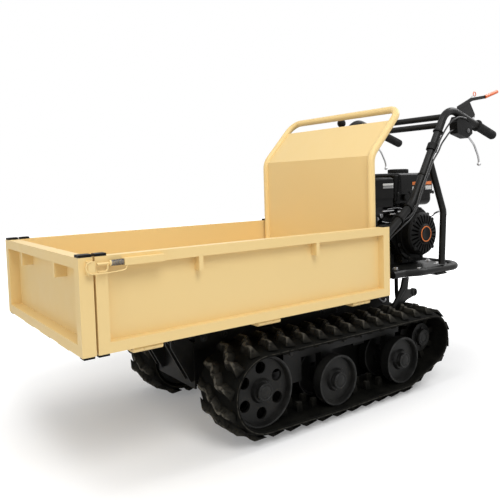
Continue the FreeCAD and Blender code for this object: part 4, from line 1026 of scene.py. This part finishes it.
def make_engine():
    cap = turned_shape(((0, 0), (36, 0), (40, 1), (40, 13), (38.5, 15.5), (30, 16.6), (28, 15.2), (12, 15.2),
                        (10, 16.8), (0, 17)), 112, ribs=1.4, whole=37)
    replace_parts(set_pieces("ribbed_cap", cap, [(spot(1375, 45, 737), UP)], PLASTIC), "tank_cap")

    # Blank labels
    piece_of("tank_stripe", [patch((1354, 1469), TANK_FACE, (691, 703))], LABEL_ORANGE)
    piece_of("tank_patches", [patch((1354, 1371), TANK_FACE, (670, 685)),
                              patch((1432, 1469), TANK_FACE, (672, 687))], LABEL_WHITE)
    piece_of("filter_patch", [patch((1192, 1248), FILTER_FACE, (692, 700))], LABEL_WHITE)
    piece_of("filter_bar", [patch((1192, 1248), FILTER_FACE, (682, 690))], LABEL_GREY)

    # Starter cover: plain badge and screws
    behind, height = STARTER
    hub = [(spot(behind, BADGE_FACE, height), LEFT)]
    badge = turned_shape(((26.5, 0), (29.5, 0), (30, 0.6), (30, 1.4), (29.5, 2), (26.5, 2), (26, 1.4),
                          (26, 0.6)), 48, closed=True)
    set_pieces("badge_ring", badge, hub, LABEL_ORANGE)
    disc = turned_shape(((0, 0), (25, 0), (25, 1.6), (23.6, 2.4), (20, 2.4), (19, 1.8), (0, 1.8)), 48)
    set_pieces("badge_disc", disc, hub, PLASTIC)
    screws = seats("starter_cover", round_places(behind, 260, height, 74, 4, 45), RIGHT)
    set_pieces("starter_screws", bolt_shape(8, 3.5), screws, BLACK)
    housing = seats("blower_housing", round_places(behind, 260, height, 98, 8, 22.5), RIGHT)
    set_pieces("housing_bolts", bolt_shape(8, 4), housing, BLACK)

    # Choke and fuel levers beside the carburettor, with their bolts, rods and spring
    piece_of("choke_bars", [plate_shape(spot(1266, 110, 596.5), spot(1205, 114, 600.5), 0.6),
                            plate_shape(spot(1329, 110, 590.5), spot(1289, 114, 595.5), 0.6)], STEEL)
    small = [spot(1218, 160, 567), spot(1241, 160, 577), spot(1235, 160, 585), spot(1190, 160, 552)]
    set_pieces("carburettor_bolts", bolt_shape(8, 4), seats("carburettor_body", small, RIGHT), STEEL)
    wire("throttle_rods", [[(1240, 104, 604), (1275, 106, 608), (1318, 108, 606), (1330, 108, 596)],
                           [(1215, 100, 560), (1240, 106, 553), (1275, 108, 556), (1292, 108, 548)]],
         1.3, STEEL)
    set_springs("throttle_spring", [(spot(1275, 111, 586), AHEAD)], (9, 3.2, 28, 0.6), STEEL)
    knob = turned_shape(((0, -6), (9, -6), (9, 0), (13, 1), (14, 3), (14, 9), (12.5, 11), (0, 11.5)), 56,
                        ribs=1.0, whole=13.5)
    set_pieces("choke_knob", knob, [(spot(1318, 124, 645), LEFT)], PLASTIC)

    # Starter pull: cord, chain to the brace and grip
    wire("pull_cord", [[(1439, 128, 560), (1438, 150, 567), (1424, 175, 575), (1407, 190, 582)]], 2.0, PLASTIC)
    wire("pull_chain", [[(1407, 190, 582), (1396, 208, 588), (1387, 223, 591)]], 3.2, STEEL)
    handle = turned_shape(((0, -20), (5, -20), (7, -17), (6.2, -8), (6.2, 8), (7, 17), (5, 20), (0, 20)), 20)
    set_pieces("pull_grip", handle, [(spot(1440, 133, 562), Vector((0.3, 0.2, 1)).normalized())], PLASTIC)

    # Fuel hose, breather hose and plug lead
    wire("hoses", [[(1300, 60, 622), (1292, 84, 612), (1270, 96, 600), (1240, 90, 590)],
                   [(1180, 20, 560), (1160, 40, 590), (1165, 60, 615), (1180, 70, 632)]], 4.0, RUBBER)
    wire("plug_lead", [[(1120, -10, 470), (1105, 20, 500), (1120, 70, 540), (1200, 100, 520),
                        (1290, 90, 540)]], 3.6, RUBBER)

    # Tank seam bolts, air filter nut and oil caps
    seam = seats("fuel_tank", [spot(behind, 180, TANK_SEAM) for behind in (1275, 1340, 1410, 1480)], RIGHT)
    seam += seats("fuel_tank", [spot(1540, left, TANK_SEAM) for left in (-40, 30, 105)], AHEAD)
    set_pieces("seam_bolts", bolt_shape(7, 3), seam, BLACK)
    nut = turned_shape(((0, -1), (11, -1), (11, 3), (7, 6), (6, 14), (0, 14)), 24)
    set_pieces("filter_nut", nut, seats("air_filter", [spot(1190, 72, 800)], -UP), PLASTIC)
    oil_cap = turned_shape(((0, -2), (15, -2), (16, 0), (16, 8), (14, 11), (0, 12)), 48, ribs=1.2, whole=15.5)
    oil = seats("engine_block", [spot(1500, 20, 430), spot(1500, -60, 430)], AHEAD)
    set_pieces("oil_caps", oil_cap, oil, PLASTIC)


# Running gear and the frame under the deck
NODE_WHEELS = {"idlers": WHEELS[:1], "rollers": (WHEELS[3], WHEELS[2]), "sprockets": WHEELS[1:2]}
SHADE_PLATE_FACE = 156
IDLER_PLAY = 4
SPROCKET_PLAY = 5
WHEEL_FACES = (299.6, 199.6)
OUTSIDE = 335
LEVER_ARM = (
    # behind the gate, above the ground
    (1262, 316), (1276, 306), (1270, 292), (1226, 282), (1186, 262), (1160, 236), (1128, 234),
    (1120, 246), (1148, 270), (1170, 296), (1196, 330), (1206, 362), (1236, 362), (1228, 318),
)


def shade_plate_outline():
    """Fills the loop of the track: round the idler, over the rollers' feet and up round the sprocket."""
    idler, sprocket = WHEELS[0], WHEELS[1]
    outline = []
    for angle in range(0, 181, 15):
        rise, along = on_circle(idler[2] - IDLER_PLAY, angle)
        outline.append((idler[0] - along, idler[1] + rise))
    outline += [(640, 43), (785, 37), (1083, 37), (1160, 60)]
    for angle in range(15, 181, 15):
        rise, along = on_circle(sprocket[2] - SPROCKET_PLAY, angle)
        outline.append((sprocket[0] + along, sprocket[1] - rise))
    return outline


def make_running_gear():
    # Black plates fill each track's loop: partly a frame side plate, partly a dark sheet put in for the shade
    # seen through the loop.
    for mark, sign in SIDES:
        piece_of("guard_plate_" + mark, [cut_plate(shade_plate_outline(), sign * SHADE_PLATE_FACE, 5)], BLACK)

    # Painted highlight rings of lighter black at the wheel edges, hub caps and sprocket bolts
    hubs = []
    bolts = []
    rims = {}
    for node, wheels in NODE_WHEELS.items():
        for behind, height, radius in wheels:
            for _, sign in SIDES:
                inward = LEFT * -sign
                hubs += seats(node, [spot(behind, sign * OUTSIDE, height)], inward)
                if node == "sprockets":
                    bolts += seats(node, round_places(behind, sign * OUTSIDE, height, 34, 6, 30), inward)
                else:
                    rims.setdefault(int(radius), []).extend(
                        (spot(behind, sign * left, height), LEFT * sign) for left in WHEEL_FACES)
    # Rings of lighter black at the disc edges stand in for the rims' highlight: painted highlight.
    for radius in sorted(rims):
        edge = turned_shape(((radius - 5, 0), (radius - 1.5, 0), (radius - 0.6, 0.8), (radius - 0.6, 1.4),
                             (radius - 1.6, 2.0), (radius - 4.2, 2.0), (radius - 5, 1.4)), 72, closed=True)
        set_pieces("wheel_rims_%d" % radius, edge, rims[radius], GREY_BLACK)
    cap = turned_shape(((0, -2), (25, -2), (25, 0.6), (24, 1.6), (21, 2.0), (19.5, 0.8), (17, 0.8),
                        (15.5, 2.0), (9, 3.2), (0, 3.6)), 40)
    set_pieces("hub_caps", cap, hubs, BLACK)
    set_pieces("wheel_bolts", bolt_shape(9, 5), bolts, BLACK)

    # Rods, struts and lever arms between the deck and the gearbox
    wire("control_rods", [[(1033, 118, 294), (1084, 118, 304), (1125, 120, 280), (1163, 120, 290)],
                          [(1163, 122, 290), (1194, 122, 251), (1206, 122, 276)],
                          [(1030, -118, 294), (1100, -118, 300), (1170, -120, 280)]], 3.0, STEEL)
    wire("deck_struts", [[(1222, 200, 330), (1172, 200, 282), (1150, 200, 253), (1129, 200, 238)],
                         [(1238, 145, 380), (1238, 145, 294), (1248, 145, 247)],
                         [(1222, -200, 330), (1172, -200, 282), (1129, -200, 238)]], 7.0, BLACK, smooth=False)
    piece_of("lever_arms", [cut_plate(LEVER_ARM, sign * 206, 9) for _, sign in SIDES], BLACK)
    eye = turned_shape(((7, -7), (13, -7), (14, -6), (14, 6), (13, 7), (7, 7)), 28, closed=True)
    set_pieces("arm_eyes", eye, [(spot(1264, sign * 201.5, 304), LEFT * sign) for _, sign in SIDES], BLACK)
    set_springs("tension_springs", [(spot(590, sign * 180, 212), -AHEAD) for _, sign in SIDES],
                (14, 10, 110, 2.2), BLACK)

    # Bolts on the rails, the front plate and the track beams
    bolts = []
    for _, sign in SIDES:
        rail = [spot(behind, sign * 400, 270) for behind in (430, 500, 900, 960)]
        bolts += seats("chassis_frame", rail, LEFT * -sign)
    front = [spot(300, left, height) for left in (-90, 90) for height in (150, 240)]
    bolts += seats("chassis_frame", front, -AHEAD)
    for _, sign in SIDES:
        beam = [spot(behind, sign * 400, 213) for behind in (640, 860, 940)]
        bolts += seats("track_beams", beam, LEFT * -sign)
    set_pieces("frame_bolts", bolt_shape(13, 7), bolts, GREY_BLACK)


# Load bed
PIVOT = (340, 280)
PIVOT_EYE = 14.0
LATCH = (99, 329, 549)
BAIL_AT = 335.4
BAIL = ((24, 557), (12, 553), (11, 542), (15, 531), (36, 528), (94, 530), (103, 533), (105, 541))
SIDE_MIDDLE = 307.5
GATE_POST_MIDDLE = 306
GATE_HINGE = (16, 338)
PLUG_HEIGHTS = (339.5, 346)


def post_plug(behind, middle, half):
    """A black plug in the foot of a panel's end post."""
    low, high = PLUG_HEIGHTS
    return plate_shape(spot(behind[1], middle - half, low), spot(behind[0], middle + half, high), 1.2)


def make_bed():
    # Pivot bolts: seated beside the bore, then set on its axis
    pivots = []
    for mark, sign in SIDES:
        side = [spot(PIVOT[0], sign * 300, PIVOT[1] + PIVOT_EYE)]
        for place, way in seats("bed_rail_" + mark, side, LEFT * -sign):
            pivots.append((place - UP * PIVOT_EYE * MM, way))
    set_pieces("pivot_bolts", bolt_shape(17, 9), pivots, STEEL, "bed")

    # Latch springs, wire bails and post plugs
    for mark, sign in SIDES:
        body = mark + "_side"
        behind, left, height = LATCH
        set_springs("latch_spring_" + mark, [(spot(behind, sign * left, height), AHEAD)], (8, 6.0, 29, 1.1),
                    ZINC, body)
        bail = [(behind, sign * BAIL_AT, height) for behind, height in BAIL]
        wire("latch_bail_" + mark, [bail], 1.45, SAND, body)
        piece_of("post_plug_" + mark, [post_plug((37, 63), sign * SIDE_MIDDLE, 11.5)], PLASTIC, body)
    plugs = [post_plug((3, 29), sign * GATE_POST_MIDDLE, 13) for _, sign in SIDES]
    piece_of("gate_plugs", plugs, PLASTIC, "gate")
    stud = turned_shape(((0, -3), (6, -3), (6, 3), (4.5, 5), (0, 5.4)), 20)
    places = [(spot(GATE_HINGE[0], left, GATE_HINGE[1]), -UP) for left in (36, 168)]
    set_pieces("gate_studs", stud, places, PLASTIC, "gate")


set_camera()
make_studio()
for part in frame["record"]["subparts"]:
    dress(SLOT_FINISH[part["material_slot"]], part["node"])
make_tracks(tread)
ON_POINTS = on_points_tree()
SPRINGS = spring_tree()
make_controls()
make_engine()
make_running_gear()
make_bed()
